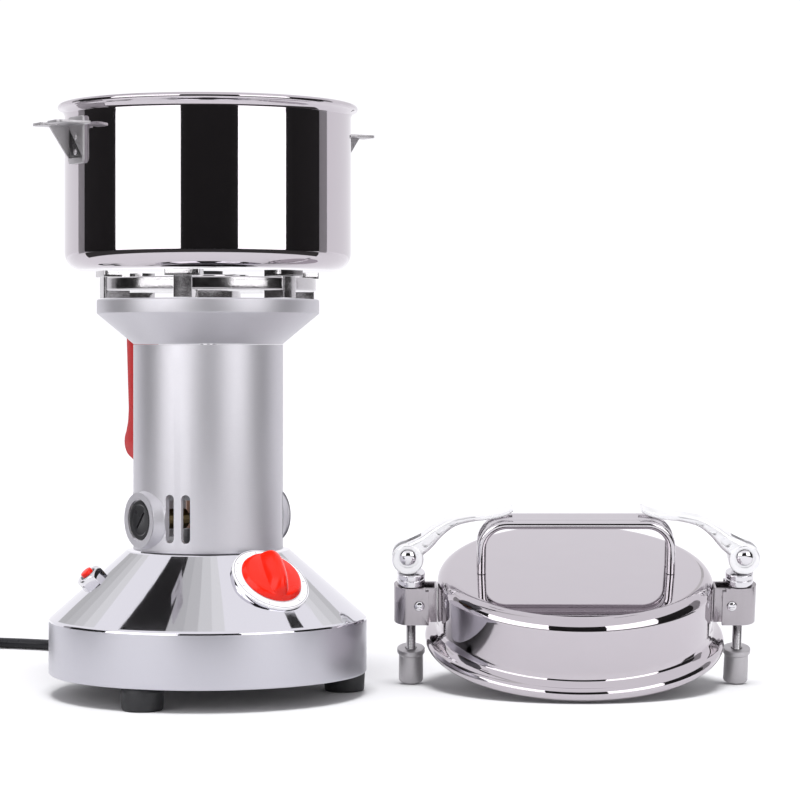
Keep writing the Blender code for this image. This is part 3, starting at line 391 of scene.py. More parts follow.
def make_base():
    outline = rounded([(0.0380, 0.0728), (0.0487, 0.0728, 0.0008), (0.0496, 0.07201),
                       (0.0935, 0.03354), (0.0948, 0.0324, 0.0012),
                       (0.0950, 0.0312, 0.0010), (0.0950, 0.0, 0.0008), (0.0920, 0.0),
                       (0.0920, 0.0302), (0.0474, 0.0694), (0.0380, 0.0694)], 5)
    seat = disc(0.0236, -0.0030, 0.0008, 96, 0.0004)
    stem = disc(0.0040, -0.01, 0.01, 32)
    breaker = disc(0.0053, -0.01, 0.01, 32)
    gland = disc(0.0063, 0.085, 0.105, 32)
    base = piece("base_shell", lathe(outline, 192), CONE_PAINT, joins=[(seat, DIAL_FRAME)],
                 cuts=[(stem, DIAL_FRAME), (breaker, BREAKER_FRAME),
                       (gland, Matrix.Translation((0, 0, GLAND_HEIGHT)) @ ALONG_Y)], sharp=28)
    # Faces below the cone (centre under 0.0313 m) get the darker tone of the same paint: painted shade on the
    # band.
    base.data.materials.append(SHADED_BAND_PAINT)
    for face in base.data.polygons:
        if face.center.z < 0.0313:
            face.material_index = 1
    bead = rounded([(0.0, 0.0020), (0.0700, 0.0020, 0.001), (0.0715, 0.0028, 0.001),
                    (0.0760, 0.0028, 0.001), (0.0775, 0.0020, 0.001), (0.0915, 0.0020, 0.0004),
                    (0.0915, 0.0, 0.0004), (0.0775, 0.0, 0.001), (0.0760, 0.0008, 0.001),
                    (0.0715, 0.0008, 0.001), (0.0700, 0.0, 0.001), (0.0, 0.0)], 4, False)
    piece("base_plate", lathe(bead, 160), STEEL)
    foot = rounded([(0.0, -0.0003), (0.0118, -0.0003, 0.0008), (0.0125, -0.0025, 0.0006),
                    (0.0119, FLOOR, 0.0014), (0.0045, FLOOR, 0.0005), (0.0042, FLOOR + 0.0060, 0.0004),
                    (0.0, FLOOR + 0.0060)], 4, False)
    for name, angle in (("foot_front_left", -60), ("foot_front_right", 60), ("foot_rear", 180)):
        piece(name, lathe(foot, 64), RUBBER, matrix=Matrix.Translation(around(0.0820, angle, 0)))


def make_column():
    tube = rounded([(0.0408, 0.1955), (0.0448, 0.1955, 0.0003), (0.0448, 0.0731, 0.0005),
                    (0.0408, 0.0731)], 3)
    flare = rounded([(0.0360, 0.0487), (0.0145, 0.0487, 0.0010), (0.0186, 0.0423, 0.0030),
                     (0.0188, 0.0380)], 5, False)
    flare = [(0.0, 0.0487)] + flare[1:] + [(0.0, 0.0380)]
    joins = []
    cuts = [disc(0.0408, 0.06, 0.21, 160)]
    for side in (1, -1):
        place = Matrix.Translation((0, 0, BRUSH_HEIGHT)) @ along_x(side)
        joins.append((lathe(flare, 96), place))
        pocket = lathe([(0.0, 0.06), (0.0123, 0.06), (0.0123, 0.0439), (0.0066, 0.0439),
                        (0.0066, 0.0300), (0.0, 0.0300)], 64)
        cuts.append((pocket, place))
        for angle in (50, 63, 117, 130):
            slot = prism(rounded([(-0.00275, 0.0792, 0.00274), (0.00275, 0.0792, 0.00274),
                                  (0.00275, 0.1076, 0.00274), (-0.00275, 0.1076, 0.00274)], 8),
                         -0.060, -0.030)
            cuts.append((slot, turn_z(side * angle)))
    piece("motor_column", lathe(tube, 192), PAINT, joins=joins, cuts=cuts, edge=0.0003, edge_steps=2,
          edge_angle=50, sharp=30)
    collar = rounded([(0.0300, 0.2225), (0.0665, 0.2225, 0.0012), (0.0665, 0.2141, 0.0008),
                      (0.0450, 0.1962, 0.0012), (0.0448, 0.1958), (0.0408, 0.1958), (0.0408, 0.1978),
                      (0.0625, 0.2161), (0.0625, 0.2195), (0.0300, 0.2195)], 5)
    piece("flare_collar", lathe(collar, 192), PAINT, sharp=28)


def make_bracket():
    ring = rounded([(0.0133, 0.2372), (0.0190, 0.2372, 0.0006), (0.0190, 0.2350), (0.0645, 0.2350, 0.0010),
                    (0.0645, 0.2274, 0.0010), (0.0190, 0.2274), (0.0190, 0.2160, 0.0006),
                    (0.0070, 0.2160), (0.0070, 0.2185), (0.0133, 0.2185)], 4)
    joins = []
    for i in range(6):
        turn = turn_z(-46 + 60 * i)
        post = prism(rounded([(-0.0055, -0.0656, 0.0012), (0.0055, -0.0656, 0.0012), (0.0055, -0.0500),
                              (-0.0055, -0.0500)], 4), 0.2228, 0.2392, lying=True)
        lug = prism(rounded([(-0.0104, -0.0668, 0.0010), (0.0104, -0.0668, 0.0010), (0.0104, -0.0560),
                             (-0.0104, -0.0560)], 4), 0.2354, 0.2390, lying=True)
        joins += [(post, turn), (lug, turn)]
    piece("top_bracket", lathe(ring, 192), CAST, joins=joins, edge=0.0003, edge_steps=2, sharp=30)


def make_bowl():
    lip = []
    for i in range(15):
        turn = math.radians(180 - 250 * i / 14)
        lip.append((0.0878 + 0.0019 * math.cos(turn), 0.3366 + 0.0019 * math.sin(turn)))
    outline = lip + rounded([(0.0866, 0.3340), (0.0856, 0.3315, 0.004), (0.0856, BOWL_FLOOR, BOWL_CORNER),
                             (0.0090, BOWL_FLOOR), (0.0090, BOWL_FLOOR + 0.0012),
                             (0.0844, BOWL_FLOOR + 0.0012, BOWL_CORNER - 0.0012),
                             (0.0844, 0.3315, 0.003), (0.0849, 0.3338)], 12, False)
    piece("grinding_bowl", lathe(outline, 256), MIRROR, sharp=50)
    for side, label in ((1, "right"), (-1, "left")):
        turn = turn_z(CATCH_TURN + (0 if side > 0 else 180))
        top = prism(rounded([(0.0859, -0.0185, 0.001), (0.1070, -0.0185, 0.0035), (0.1070, -0.0038, 0.0008),
                             (0.0975, -0.0038, 0.0034), (0.0975, 0.0038, 0.0034), (0.1070, 0.0038, 0.0008),
                             (0.1070, 0.0185, 0.0035), (0.0859, 0.0185, 0.001)], 5),
                    0.3229, 0.3244, lying=True)
        plate = prism(rounded([(-0.0100, 0.3008, 0.003), (0.0100, 0.3008, 0.003), (0.0100, 0.3283, 0.002),
                               (-0.0100, 0.3283, 0.002)], 5), 0.0859, 0.0873, lying=True)
        upright = Matrix(((0, 0, 1, 0), (1, 0, 0, 0), (0, 1, 0, 0), (0, 0, 0, 1)))
        gusset = prism(rounded([(0.0860, 0.3236), (0.0860, 0.3028), (0.0880, 0.3050, 0.002),
                                (0.1004, 0.3236)], 4), -0.0100, -0.0085)
        joins = [(plate, upright), gusset]
        for height in (0.3075, 0.3165):
            weld = lathe(rounded([(0.0, 0.0880), (0.0014, 0.0879, 0.0006), (0.0022, 0.0870, 0.0004),
                                  (0.0, 0.0865)], 4, False), 32)
            joins.append((weld, Matrix.Translation((0, 0, height)) @ along_x(1)))
        piece(f"bowl_catch_{label}", top, NUT_METAL, matrix=turn, joins=joins, edge=0.00025, edge_steps=2)


def make_timer():
    plate = rounded([(0.0040, 0.0021), (0.0236, 0.0021, 0.0003), (0.0240, 0.0011), (0.0040, 0.0011)], 3)
    piece("dial_plate", lathe(plate, 128), DIAL, matrix=DIAL_FRAME)
    marks = bmesh.new()

    def bar(angle, inner, outer, half):
        turn = Matrix.Rotation(math.radians(angle), 4, "Z")
        corners = []
        for z in (0.00208, 0.00222):
            corners.append([marks.verts.new(turn @ Vector((x, y, z)))
                            for x, y in ((-half, inner), (half, inner), (half, outer), (-half, outer))])
        low, high = corners
        marks.faces.new(low)
        marks.faces.new(high)
        for i in range(4):
            j = (i + 1) % 4
            marks.faces.new((low[i], low[j], high[j], high[i]))

    for i in range(31):
        long = i % 5 == 0
        bar(-150 + 10 * i, 0.0202 if long else 0.0209, 0.0219, 0.00022 if long else 0.00013)
    piece("dial_marks", mesh_of(marks), INK, stands_for=[], matrix=DIAL_FRAME)
    piece("dial_outline", ring_mesh(0.0227, 0.0231, 0.00208, 0.00222, 0.00005, 128), INK, stands_for=[],
          matrix=DIAL_FRAME)

    low = 0.0025
    knob_frame = DIAL_FRAME @ turn_z(-12.5)
    skirt = rounded([(0.0, low + 0.0056), (0.0100, low + 0.0054, 0.004), (0.0168, low + 0.0042, 0.003),
                     (0.0186, low + 0.0006, 0.0012), (0.0184, low), (0.0032, low), (0.0032, -0.0054),
                     (0.0, -0.0054)], 5, False)
    stations = []
    for i in range(25):
        along = -1 + 2 * i / 24
        y = 0.0176 * along
        rise = max(1 - abs(along) ** 2.6, 0.0)
        crest = low + 0.0012 + (0.0138 - 0.0012) * rise ** 0.55
        width = 0.0019 + 0.0024 * rise ** 0.5
        section = []
        for k in range(17):
            turn = math.pi * k / 16
            across = math.cos(turn)
            up = math.sin(turn) ** 0.5
            section.append((width * across * (1.0 + 0.9 * (1 - up)), y,
                            low + 0.0006 + (crest - low - 0.0006) * up))
        stations.append(section)
    piece("timer_knob", lathe(skirt, 128), RED, "timer_knob", matrix=knob_frame, joins=[sweep(stations)],
          sharp=40, edge=0.0005, edge_angle=35)


def make_breaker():
    nut, radius = hexagon(0.0147, 0.0003, 0.0083)
    chamfer = lathe([(0.0, 0.012), (0.02, 0.012), (0.02, 0.0040), (radius + 0.0001, 0.0063),
                     (0.0072, 0.0084), (0.0, 0.0084)], 64)
    bore = disc(0.0053, -0.01, 0.02, 48)
    piece("breaker_nut", nut, CHROME, matrix=BREAKER_FRAME, cuts=[chamfer, bore], edge=0.0002,
          edge_angle=25, sharp=20)
    body = rounded([(0.0, -0.0065), (0.0039, -0.0065), (0.0039, 0.0083, 0.0002), (0.0050, 0.0083, 0.0004),
                    (0.0050, -0.0042), (0.0090, -0.0042, 0.0004), (0.0090, -0.0260, 0.0006),
                    (0.0, -0.0260)], 3, False)
    piece("breaker_body", lathe(body, 64), BLACK, matrix=BREAKER_FRAME)
    button = rounded([(0.0, 0.0108), (0.0036, 0.0106, 0.0008), (0.0036, -0.0030, 0.0002),
                      (0.0, -0.0030)], 5, False)
    piece("reset_button", lathe(button, 64), RED, "reset_button", matrix=BREAKER_FRAME)


def make_brushes():
    for side, label in ((1, "right"), (-1, "left")):
        place = Matrix.Translation((0, 0, BRUSH_HEIGHT)) @ along_x(side)
        cap = rounded([(0.0, 0.0474), (0.0086, 0.0474, 0.0003), (0.0094, 0.0482, 0.0003),
                       (0.0113, 0.0482, 0.0005), (0.0120, 0.0472, 0.0004), (0.0120, 0.0442, 0.0003),
                       (0.0, 0.0442)], 4, False)
        slot = brick((-0.0008, -0.0062, 0.0462), (0.0008, 0.0062, 0.0500))
        piece(f"brush_cap_{label}", lathe(cap, 96), BLACK, matrix=place, cuts=[(slot, turn_z(50))],
              edge=0.0001, edge_steps=2)


def make_blades():
    for name, half_span, half_width, height, angle in (("lower_blade", 0.0720, 0.0110, 0.2530, 20.0),
                                                       ("upper_blade", 0.0560, 0.0100, 0.2760, 110.0)):
        slant = half_width * 0.9
        half = [(half_span - slant, -half_width, 0.001), (half_span, half_width * 0.3, 0.001),
                (half_span - slant * 0.5, half_width, 0.001), (0.0140, half_width * 0.75, 0.01)]
        outline = rounded(half + [(-x, -y, r) for x, y, r in half], 4)
        blade = prism(outline, height, height + 0.0025, lying=True)
        cuts = [disc(0.0043, height - 0.01, height + 0.01, 48)]
        for side in (1, -1):
            grind = prism([(0.018, -half_width * 1.02), (half_span, -half_width * 1.02),
                           (half_span, -half_width * 0.62)], -0.0016, 0.0016, lying=True)
            lean = Matrix.Translation((0, 0, height + 0.0030)) @ turn_z(0 if side > 0 else 180)
            cuts.append((grind, lean))
        piece(name, blade, SHEET, "rotor", matrix=turn_z(angle), cuts=cuts, edge=0.0002, edge_steps=2)
    piece("blade_spacer", ring_mesh(0.0043, 0.0090, 0.2558, 0.2757), SHEET, "rotor")
    nut, radius = hexagon(0.0130, 0.2788, 0.2863)
    crown = lathe([(0.0, 0.30), (0.02, 0.30), (0.02, 0.2825), (radius + 0.0001, 0.2847), (0.0062, 0.2864),
                   (0.0, 0.2864)], 64)
    piece("blade_nut", nut, SHEET, "rotor", cuts=[disc(0.0043, 0.27, 0.30, 48), crown], edge=0.0002,
          edge_angle=25, sharp=20)
    shaft = rounded([(0.0, 0.2920), (0.0040, 0.2920, 0.0008), (0.0040, 0.2180), (0.0050, 0.2160),
                     (0.0050, 0.0855), (0.0040, 0.0850), (0.0040, 0.0740, 0.0004), (0.0, 0.0740)], 4, False)
    piece("motor_shaft", lathe(shaft, 64), STEEL, "rotor")
    seal = rounded([(0.0044, 0.2452, 0.0004), (0.0068, 0.2452, 0.0006), (0.0120, 0.2427, 0.0008),
                    (0.0120, 0.2411, 0.0004), (0.0086, 0.2411), (0.0086, 0.2367, 0.0004),
                    (0.0044, 0.2367)], 4)
    piece("shaft_seal", lathe(seal, 64), RUBBER)


def make_rear_handle():
    outer = [(0.0640, 0.2215), (0.0755, 0.2215, 0.004), (0.0800, 0.2170, 0.003), (0.0812, 0.2080, 0.01),
             (0.0806, 0.1950), (0.0795, 0.1750), (0.0784, 0.1560, 0.02), (0.0792, 0.1480, 0.01)]
    for i in range(9):
        turn = math.radians(38 - 98 * i / 8)
        outer.append((0.0735 + 0.0100 * math.cos(turn), 0.1355 + 0.0100 * math.sin(turn)))
    outer += [(0.0690, 0.1225, 0.004), (0.0560, 0.1165, 0.01), (0.0400, 0.1150)]
    inner = [(0.0400, 0.1270), (0.0540, 0.1290, 0.01), (0.0640, 0.1370, 0.008), (0.0680, 0.1500, 0.01),
             (0.0690, 0.1750), (0.0700, 0.1950), (0.0705, 0.2060, 0.002), (0.0690, 0.2100, 0.002),
             (0.0640, 0.2120)]
    outline = rounded(outer + inner, 4)
    turn = Matrix(((0, 1, 0, 0), (1, 0, 0, 0), (0, 0, 1, 0), (0, 0, 0, 1)))
    handle = prism(outline, -0.0085, 0.0085)
    handle.transform(turn)
    handle.flip_normals()
    piece("rear_handle", handle, DARK_RED,
          cuts=[disc(0.0451, 0.05, 0.20, 160), disc(0.0668, 0.2050, 0.24, 160)], edge=0.0022, edge_steps=4,
          edge_angle=50, sharp=35)


# --- Cord ----------------------------------------------------------------------------------------------


def make_cord():
    corners = [(0.0, 0.1285, GLAND_HEIGHT), (0.0003, 0.1430, 0.0107), (0.0025, 0.1580, 0.0050),
               (0.0078, 0.1735, -0.0030), (0.0155, 0.1890, -0.0083), (0.0240, 0.2040, LAID),
               (0.0315, 0.2190, LAID), (0.0355, 0.2350, LAID), (0.0325, 0.2510, LAID),
               (0.0245, 0.2655, LAID), (0.0148, 0.2795, LAID), (0.0046, 0.2925, LAID)]
    lead = smooth_route(corners, 3)
    middle = Vector((-0.0463, 0.2914, 0.0))
    coil = []
    steps = 28
    turns = 3.5
    coil_radius, layer = 0.0424, 0.0071
    for i in range(2, int(turns * steps) + 1):
        t = i / steps
        radius = coil_radius - layer * ramp(t, 0.90, 1.10) + layer * ramp(t, 2.90, 3.10)
        radius += 0.0040 * (1 - ramp(t, 0.0, 0.20))
        height = LAID + 0.0070 * ramp(t, 1.90, 2.10)
        turn = 2 * math.pi * t
        coil.append(middle + Vector((radius * math.cos(turn), radius * math.sin(turn), height)))
    plug_x, start, plug_lift = -0.0888, 0.2626, 0.0016
    out_x = middle.x - coil_radius
    tail = [Vector((out_x, middle.y - 0.0110, LAID + 0.0055)),
            Vector((out_x, middle.y - 0.0200, LAID + 0.0028)), Vector((plug_x, start, LAID + plug_lift))]
    points = lead[:-1] + coil + tail
    curve = bpy.data.curves.new("mains_cord", "CURVE")
    curve.dimensions = "3D"
    curve.bevel_depth = CORD_RADIUS
    curve.bevel_resolution = 6
    curve.use_fill_caps = True
    line = curve.splines.new("POLY")
    line.points.add(len(points) - 1)
    for point, place in zip(line.points, points):
        point.co = (*place, 1.0)
    curve.materials.append(BLACK)
    cord = bpy.data.objects.new("mains_cord", curve)
    bpy.context.scene.collection.objects.link(cord)
    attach(cord, "machine")
    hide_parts("cord_lead", "cord_coil")

    rings = [(0.0, 0.1282), (0.0041, 0.1282, 0.0003), (0.0046, 0.1272, 0.0003)]
    for i in range(6):
        at = 0.1245 - 0.0042 * i
        out = 0.0048 + 0.00022 * i
        rings += [(out, at, 0.0003), (out - 0.0010, at - 0.0008, 0.0003),
                  (out - 0.0010, at - 0.0018, 0.0003), (out + 0.0001, at - 0.0026, 0.0003)]
    rings += [(0.0061, 0.0990, 0.0003), (0.0080, 0.0985, 0.0006), (0.0080, 0.0956, 0.0004),
              (0.0060, 0.0956), (0.0060, 0.0880, 0.0004), (0.0, 0.0880)]
    piece("cord_gland", lathe(rounded(rings, 3, False), 64), BLACK,
          matrix=Matrix.Translation((0, 0, GLAND_HEIGHT)) @ ALONG_Y)

    middle_z = FLOOR + 0.0092
    half, neck = 0.0130, 0.0085
    body = prism(rounded([(plug_x - half, start - 0.0500, 0.003), (plug_x + half, start - 0.0500, 0.003),
                          (plug_x + half, start - 0.0270, 0.004), (plug_x + neck, start - 0.0140, 0.003),
                          (plug_x - neck, start - 0.0140, 0.003), (plug_x - half, start - 0.0270, 0.004)], 5),
                 FLOOR + 0.0002, FLOOR + 0.0184, lying=True)
    grooves = []
    for i in range(4):
        for side in (-1, 1):
            at = start - 0.0300 - 0.0045 * i
            edge = plug_x + side * half
            grooves.append(brick((edge - 0.0009, at - 0.0009, FLOOR - 0.01),
                                 (edge + 0.0009, at + 0.0009, FLOOR + 0.03)))
    relief = [(0.0, 0.0), (0.0041, 0.0, 0.0003)]
    for i in range(3):
        at = -0.0022 - 0.0040 * i
        relief += [(0.0045 + 0.0004 * i, at, 0.0002), (0.0036 + 0.0004 * i, at - 0.0006, 0.0002),
                   (0.0036 + 0.0004 * i, at - 0.0016, 0.0002), (0.0047 + 0.0004 * i, at - 0.0022, 0.0002)]
    relief += [(0.0060, -0.0160), (0.0, -0.0160)]
    relief_place = Matrix.Translation((plug_x, start, LAID + plug_lift)) @ ALONG_Y
    plug = piece("cord_plug", body, BLACK, cuts=grooves, edge=0.0012, edge_angle=50,
                 joins=[(lathe(rounded(relief, 3, False), 48), relief_place)])
    # The pins use the brass that is darkened as painted shade for the column's inside.
    for side in (-1, 1):
        x = plug_x + side * 0.0063
        tip, root, low, high = start - 0.0665, start - 0.0490, middle_z - 0.0031, middle_z + 0.0031
        outline = rounded([(tip, low, 0.0012), (root, low), (root, high), (tip, high, 0.0012)], 4)
        pin = prism(outline, -0.0008, 0.0008)
        pin.transform(Matrix.Translation((x, 0, 0)) @ Matrix.Rotation(math.pi / 2, 4, "Z"))
        hole = disc(0.0014, -0.01, 0.01, 24)
        piece(f"plug_pin_{'left' if side < 0 else 'right'}", pin, SHADED_BRASS, stands_for=[],
                          cuts=[(hole, Matrix.Translation((x, start - 0.0630, middle_z)) @ along_x(1))],
                          edge=0.0001, edge_steps=2)
    tie_x, tie_z = 0.0388, FLOOR + 0.0073
    tie_mesh = bmesh.new()
    rings = []
    for share, y in ((1.0, -0.0016), (1.0, 0.0016), (0.93, 0.0016), (0.93, -0.0016)):
        ring = []
        for k in range(24):
            turn = 2 * math.pi * k / 24
            out, up = (max(min(1.25 * way, 1), -1) for way in (math.cos(turn), math.sin(turn)))
            up = max(0.0070 * up, FLOOR + 0.0002 - tie_z)
            ring.append(tie_mesh.verts.new((tie_x + 0.0083 * out * share, y, tie_z + up * share)))
        rings.append(ring)
    for a, b in zip(rings, rings[1:] + rings[:1]):
        for i in range(24):
            j = (i + 1) % 24
            tie_mesh.faces.new((a[i], a[j], b[j], b[i]))
    tie = piece("cord_tie", mesh_of(tie_mesh), BLACK, stands_for=[],
                matrix=Matrix.Translation(middle) @ turn_z(200))


def ramp(t, start, end):
    s = min(max((t - start) / (end - start), 0.0), 1.0)
    return s * s * (3 - 2 * s)


# --- Lid -----------------------------------------------------------------------------------------------


def lid_frame():
    nut_low, nut_edge, rim = -0.0248, 0.0065, 0.0898
    lean = math.atan2(-nut_low, rim - nut_edge)
    front = Matrix.Rotation(TURNED, 4, "Z") @ Matrix.Rotation(lean, 4, "X")
    drop = -nut_low * math.cos(lean) + nut_edge * math.sin(lean)
    away = Vector((-math.sin(TURNED), math.cos(TURNED), 0.0))
    place = Vector((0.2036, -0.0983, FLOOR + drop + 0.0002)) + away * nut_low * math.sin(lean)
    return Matrix.Translation(place) @ front


LID = lid_frame()


def make_lid():
    rim = []
    for i in range(13):
        turn = math.radians(70 - 130 * i / 12)
        rim.append((0.0871 + 0.0044 * math.cos(turn), 0.0045 + 0.0044 * math.sin(turn)))
    top = rounded([(0.0, 0.0480), (0.0840, 0.0480, 0.0085), (0.0840, 0.0150, 0.01), (0.0848, 0.0118, 0.003),
                   (0.0868, 0.0097, 0.001)], 14, False)
    under = rounded([(0.0880, 0.0002), (0.0862, 0.0010, 0.0006), (0.0860, 0.0060, 0.002),
                     (0.0852, 0.0092, 0.002), (0.0828, 0.0130, 0.003), (0.0828, 0.0468, 0.0073),
                     (0.0, 0.0468)], 12, False)
    piece("lid_shell", lathe(top + rim + under, 256), MIRROR, "lid", matrix=LID, sharp=50)
    piece("lid_gasket", ring_mesh(0.0790, 0.0856, 0.0014, 0.0054, 0.0012, 160), SILICONE, "lid", matrix=LID)

    half, half_width, bead = 0.0600, 0.0090, 0.0027
    path = ((half, 0.0483, 0.0), (half, 0.0820, 0.0180), (-half, 0.0820, 0.0180), (-half, 0.0483, 0.0))
    middle_line = rounded([(x - math.copysign(bead, x), z - (bead if z > 0.06 else 0.0), max(r - bead, 0))
                           for x, z, r in path], 16, False)
    section = []
    for side in (1, -1):
        for k in range(17):
            turn = math.radians(-158 + 316 * k / 16)
            section.append((side * (half_width - bead + bead * math.cos(turn)), side * bead * math.sin(turn)))
    stations = []
    for i, here in enumerate(middle_line):
        before = Vector(middle_line[max(i - 1, 0)])
        after = Vector(middle_line[min(i + 1, len(middle_line) - 1)])
        heading = (after - before).normalized()
        normal = Vector((heading.y, -heading.x))
        stations.append([(here[0] + normal.x * t, a, here[1] + normal.y * t) for a, t in section])
    piece("lid_handle", sweep(stations), POLISHED, "lid", matrix=LID, sharp=60)


def lever_mesh():
    """The lever's arm: a skin over rounded sections from the cam to the upturned tip."""
    spine = [(0.0995, 0.0610, 0.0064), (0.0915, 0.0664, 0.0052), (0.0835, 0.0738, 0.0038),
             (0.0745, 0.0797, 0.0028), (0.0640, 0.0824, 0.0023), (0.0550, 0.0834, 0.0020),
             (0.0480, 0.0845, 0.0017), (0.0425, 0.0862, 0.0015), (0.0390, 0.0882, 0.0011)]
    points = smooth_route(spine, 5)
    stations = []
    for i, here in enumerate(points):
        before = points[max(i - 1, 0)]
        after = points[min(i + 1, len(points) - 1)]
        heading = Vector((after.x - before.x, after.y - before.y)).normalized()
        side = Vector((-heading.y, heading.x))
        share = i / (len(points) - 1)
        width = 0.0060 - 0.0008 * math.sin(math.pi * min(share * 1.3, 1.0))
        station = []
        for k in range(20):
            turn = 2 * math.pi * k / 20
            across = math.copysign(abs(math.cos(turn)) ** 0.5, math.cos(turn)) * width
            up = math.copysign(abs(math.sin(turn)) ** 0.5, math.sin(turn)) * here.z
            station.append((here.x + side.x * up, across, here.y + side.y * up))
        stations.append(station)
    return sweep(stations)


def make_clamp(label, turn):
    place = LID @ Matrix.Rotation(turn, 4, "Z")
    hinge = Matrix.Translation((0.0950, 0, 0.0275)) @ ALONG_Y
    pin_place = Matrix.Translation((0.1020, 0, 0.0580)) @ ALONG_Y
    eye_place = Matrix.Translation((0.0020, 0, 0.0580)) @ ALONG_Y
    rod_place = Matrix.Translation((0.1000, 0, 0))

    ear = rounded([(0.0843, 0.0160), (0.0962, 0.0160, 0.001), (0.0979, 0.0215, 0.001),
                   (0.0979, 0.0287, 0.002), (0.0925, 0.0380, 0.002), (0.0843, 0.0380)], 4)
    piece(f"clamp_bracket_{label}", prism(ear, -0.0062, 0.0062), SHEET, "lid", matrix=place,
          cuts=[(disc(0.0019, -0.02, 0.02, 32), hinge),
                brick((0.0858, -0.0047, 0.0100), (0.1000, 0.0047, 0.0400))],
          edge=0.0003, edge_steps=2)
    head = rounded([(0.0, 0.0104), (0.0014, 0.0104, 0.0003), (0.0027, 0.0099, 0.0005), (0.0031, 0.0093),
                    (0.0016, 0.0093)], 4, False)
    rivet = head + [(r, -z) for r, z in reversed(head)]
    cross = []
    for low, high in ((0.0101, 0.0120), (-0.0120, -0.0101)):
        cross += [brick((-0.0016, -0.0003, low), (0.0016, 0.0003, high)),
                  brick((-0.0003, -0.0016, low), (0.0003, 0.0016, high))]
    piece(f"clamp_rivet_{label}", lathe(rivet, 48), CHROME, "lid", matrix=place @ hinge, cuts=cross)

    nose = 0.0090
    end = 0.1105 - nose
    outline = []
    for i in range(25):
        angle = math.radians(-90 + 180 * i / 24)
        outline.append((end + nose * math.cos(angle), nose * math.sin(angle)))
    outline += [(0.0893, nose), (0.0893, -nose)]
    box = prism(outline, 0.0150, 0.0388, lying=True)
    slot = brick((0.0800, -0.0066, 0.0), (0.0986, 0.0066, 0.0600))
    notch = brick((0.0850, -0.02, 0.0368), (0.0913, 0.02, 0.0500))
    piece(f"clamp_block_{label}", box, SHEET, f"clamp_block_{label}", matrix=place,
          cuts=[slot, (disc(0.0034, 0.0, 0.06, 48), rod_place), (disc(0.0019, -0.02, 0.02, 32), hinge),
                notch], edge=0.0005, edge_angle=50)
    seat = rounded([(0.0035, 0.0467, 0.0003), (0.0085, 0.0467, 0.0005), (0.0085, 0.0435, 0.0004),
                    (0.0079, 0.0431, 0.0002), (0.0085, 0.0427, 0.0004), (0.0085, 0.0391, 0.0005),
                    (0.0035, 0.0391)], 4)
    piece(f"clamp_seat_{label}", lathe(seat, 96), CHROME, f"clamp_block_{label}", matrix=place @ rod_place)

    threads = [(0.0, -0.0120), (0.0024, -0.0120)]
    for i in range(46):
        at = -0.0115 + 0.0010 * i
        threads += [(0.0026, at), (0.0030, at + 0.0005)]
    threads += [(0.0029, 0.0350), (0.0029, 0.0462), (0.0, 0.0462)]
    eye = disc(0.0058, -0.0020, 0.0020, 64, 0.0003)
    shank = brick((-0.0026, -0.0019, 0.0430), (0.0028, 0.0019, 0.0580))
    piece(f"clamp_bolt_{label}", lathe(threads[::-1], 32), STEEL, f"clamp_bolt_{label}",
          matrix=place @ rod_place, joins=[shank, (eye, eye_place)],
          cuts=[(disc(0.0027, -0.01, 0.01, 32), eye_place)], sharp=25)

    cam = disc(0.0095, -0.0064, 0.0064, 96, 0.0009)
    recess = disc(0.0066, 0.0058, 0.0080, 64)
    fork = brick((0.0940, -0.0024, 0.0400), (0.1250, 0.0024, 0.0800))
    cam_place = Matrix.Translation((0.1020, 0, 0.0565)) @ ALONG_Y
    cuts = [fork, (disc(0.0027, -0.02, 0.02, 48), pin_place), (recess, pin_place),
            (disc(0.0066, -0.0080, -0.0058, 64), pin_place)]
    windows = (((0.0930, 0.0652), (0.0872, 0.0700), 0.0022), ((0.0845, 0.0728), (0.0792, 0.0768), 0.0017),
               ((0.0768, 0.0783), (0.0716, 0.0806), 0.0012))
    for (x0, z0), (x1, z1), wide in windows:
        slope = math.atan2(z1 - z0, x1 - x0)
        nx, nz = -math.sin(slope) * wide, math.cos(slope) * wide
        curve = wide * 0.9
        outline = rounded([(x0 + nx, z0 + nz, curve), (x1 + nx, z1 + nz, curve),
                           (x1 - nx, z1 - nz, curve), (x0 - nx, z0 - nz, curve)], 4)
        for side in (1, -1):
            cuts.append(prism(outline, min(side * 0.0035, side * 0.0080), max(side * 0.0035, side * 0.0080)))
    piece(f"clamp_lever_{label}", lever_mesh(), LEVER, f"clamp_lever_{label}", matrix=place,
          joins=[(cam, cam_place)], cuts=cuts, sharp=35)
    dome = [(0.0, 0.0090), (0.0022, 0.0087), (0.0036, 0.0081), (0.0046, 0.0073), (0.0050, 0.0068)]
    profile = dome + [(0.0024, 0.0068)] + [(r, -z) for r, z in [(0.0024, 0.0068)] + dome[::-1]]
    piece(f"lever_pin_{label}", lathe(profile, 64), CHROME, f"clamp_lever_{label}", matrix=place @ pin_place)

    nut = rounded([(0.0, -0.0225), (0.0034, -0.0225), (0.0034, -0.0032, 0.0004), (0.0085, -0.0032, 0.0006),
                   (0.0085, -0.0060, 0.0006), (0.0074, -0.0072, 0.0010), (0.0075, -0.0248, 0.0012),
                   (0.0, -0.0248)], 5, False)
    piece(f"clamp_nut_{label}", lathe(nut, 96), NUT_METAL, f"clamp_nut_{label}", matrix=place @ rod_place)


# --- CAD nodes that stay, hidden in the machine -----------------------------------------------------------


def finish_inner_nodes():
    # Painted shade inside the column: the copper and brass are darkened, and the lower bearing plate, cast
    # aluminium, takes the dark laminated iron finish.
    inner = {"stator": IRON, "armature": SHADED_COPPER, "commutator": SHADED_COPPER, "cooling_fan": BLACK,
             "upper_bearing": STEEL, "lower_bearing": STEEL, "lower_bearing_plate": IRON,
             "brush_holder_left": SHADED_BRASS, "brush_holder_right": SHADED_BRASS, "carbon_brush_left": CARBON,
             "carbon_brush_right": CARBON, "timer_body": BLACK}
    for name, finish in inner.items():
        node = NODES[name]
        node.data.materials.clear()
        node.data.materials.append(finish)


# --- Studio ----------------------------------------------------------------------------------------------


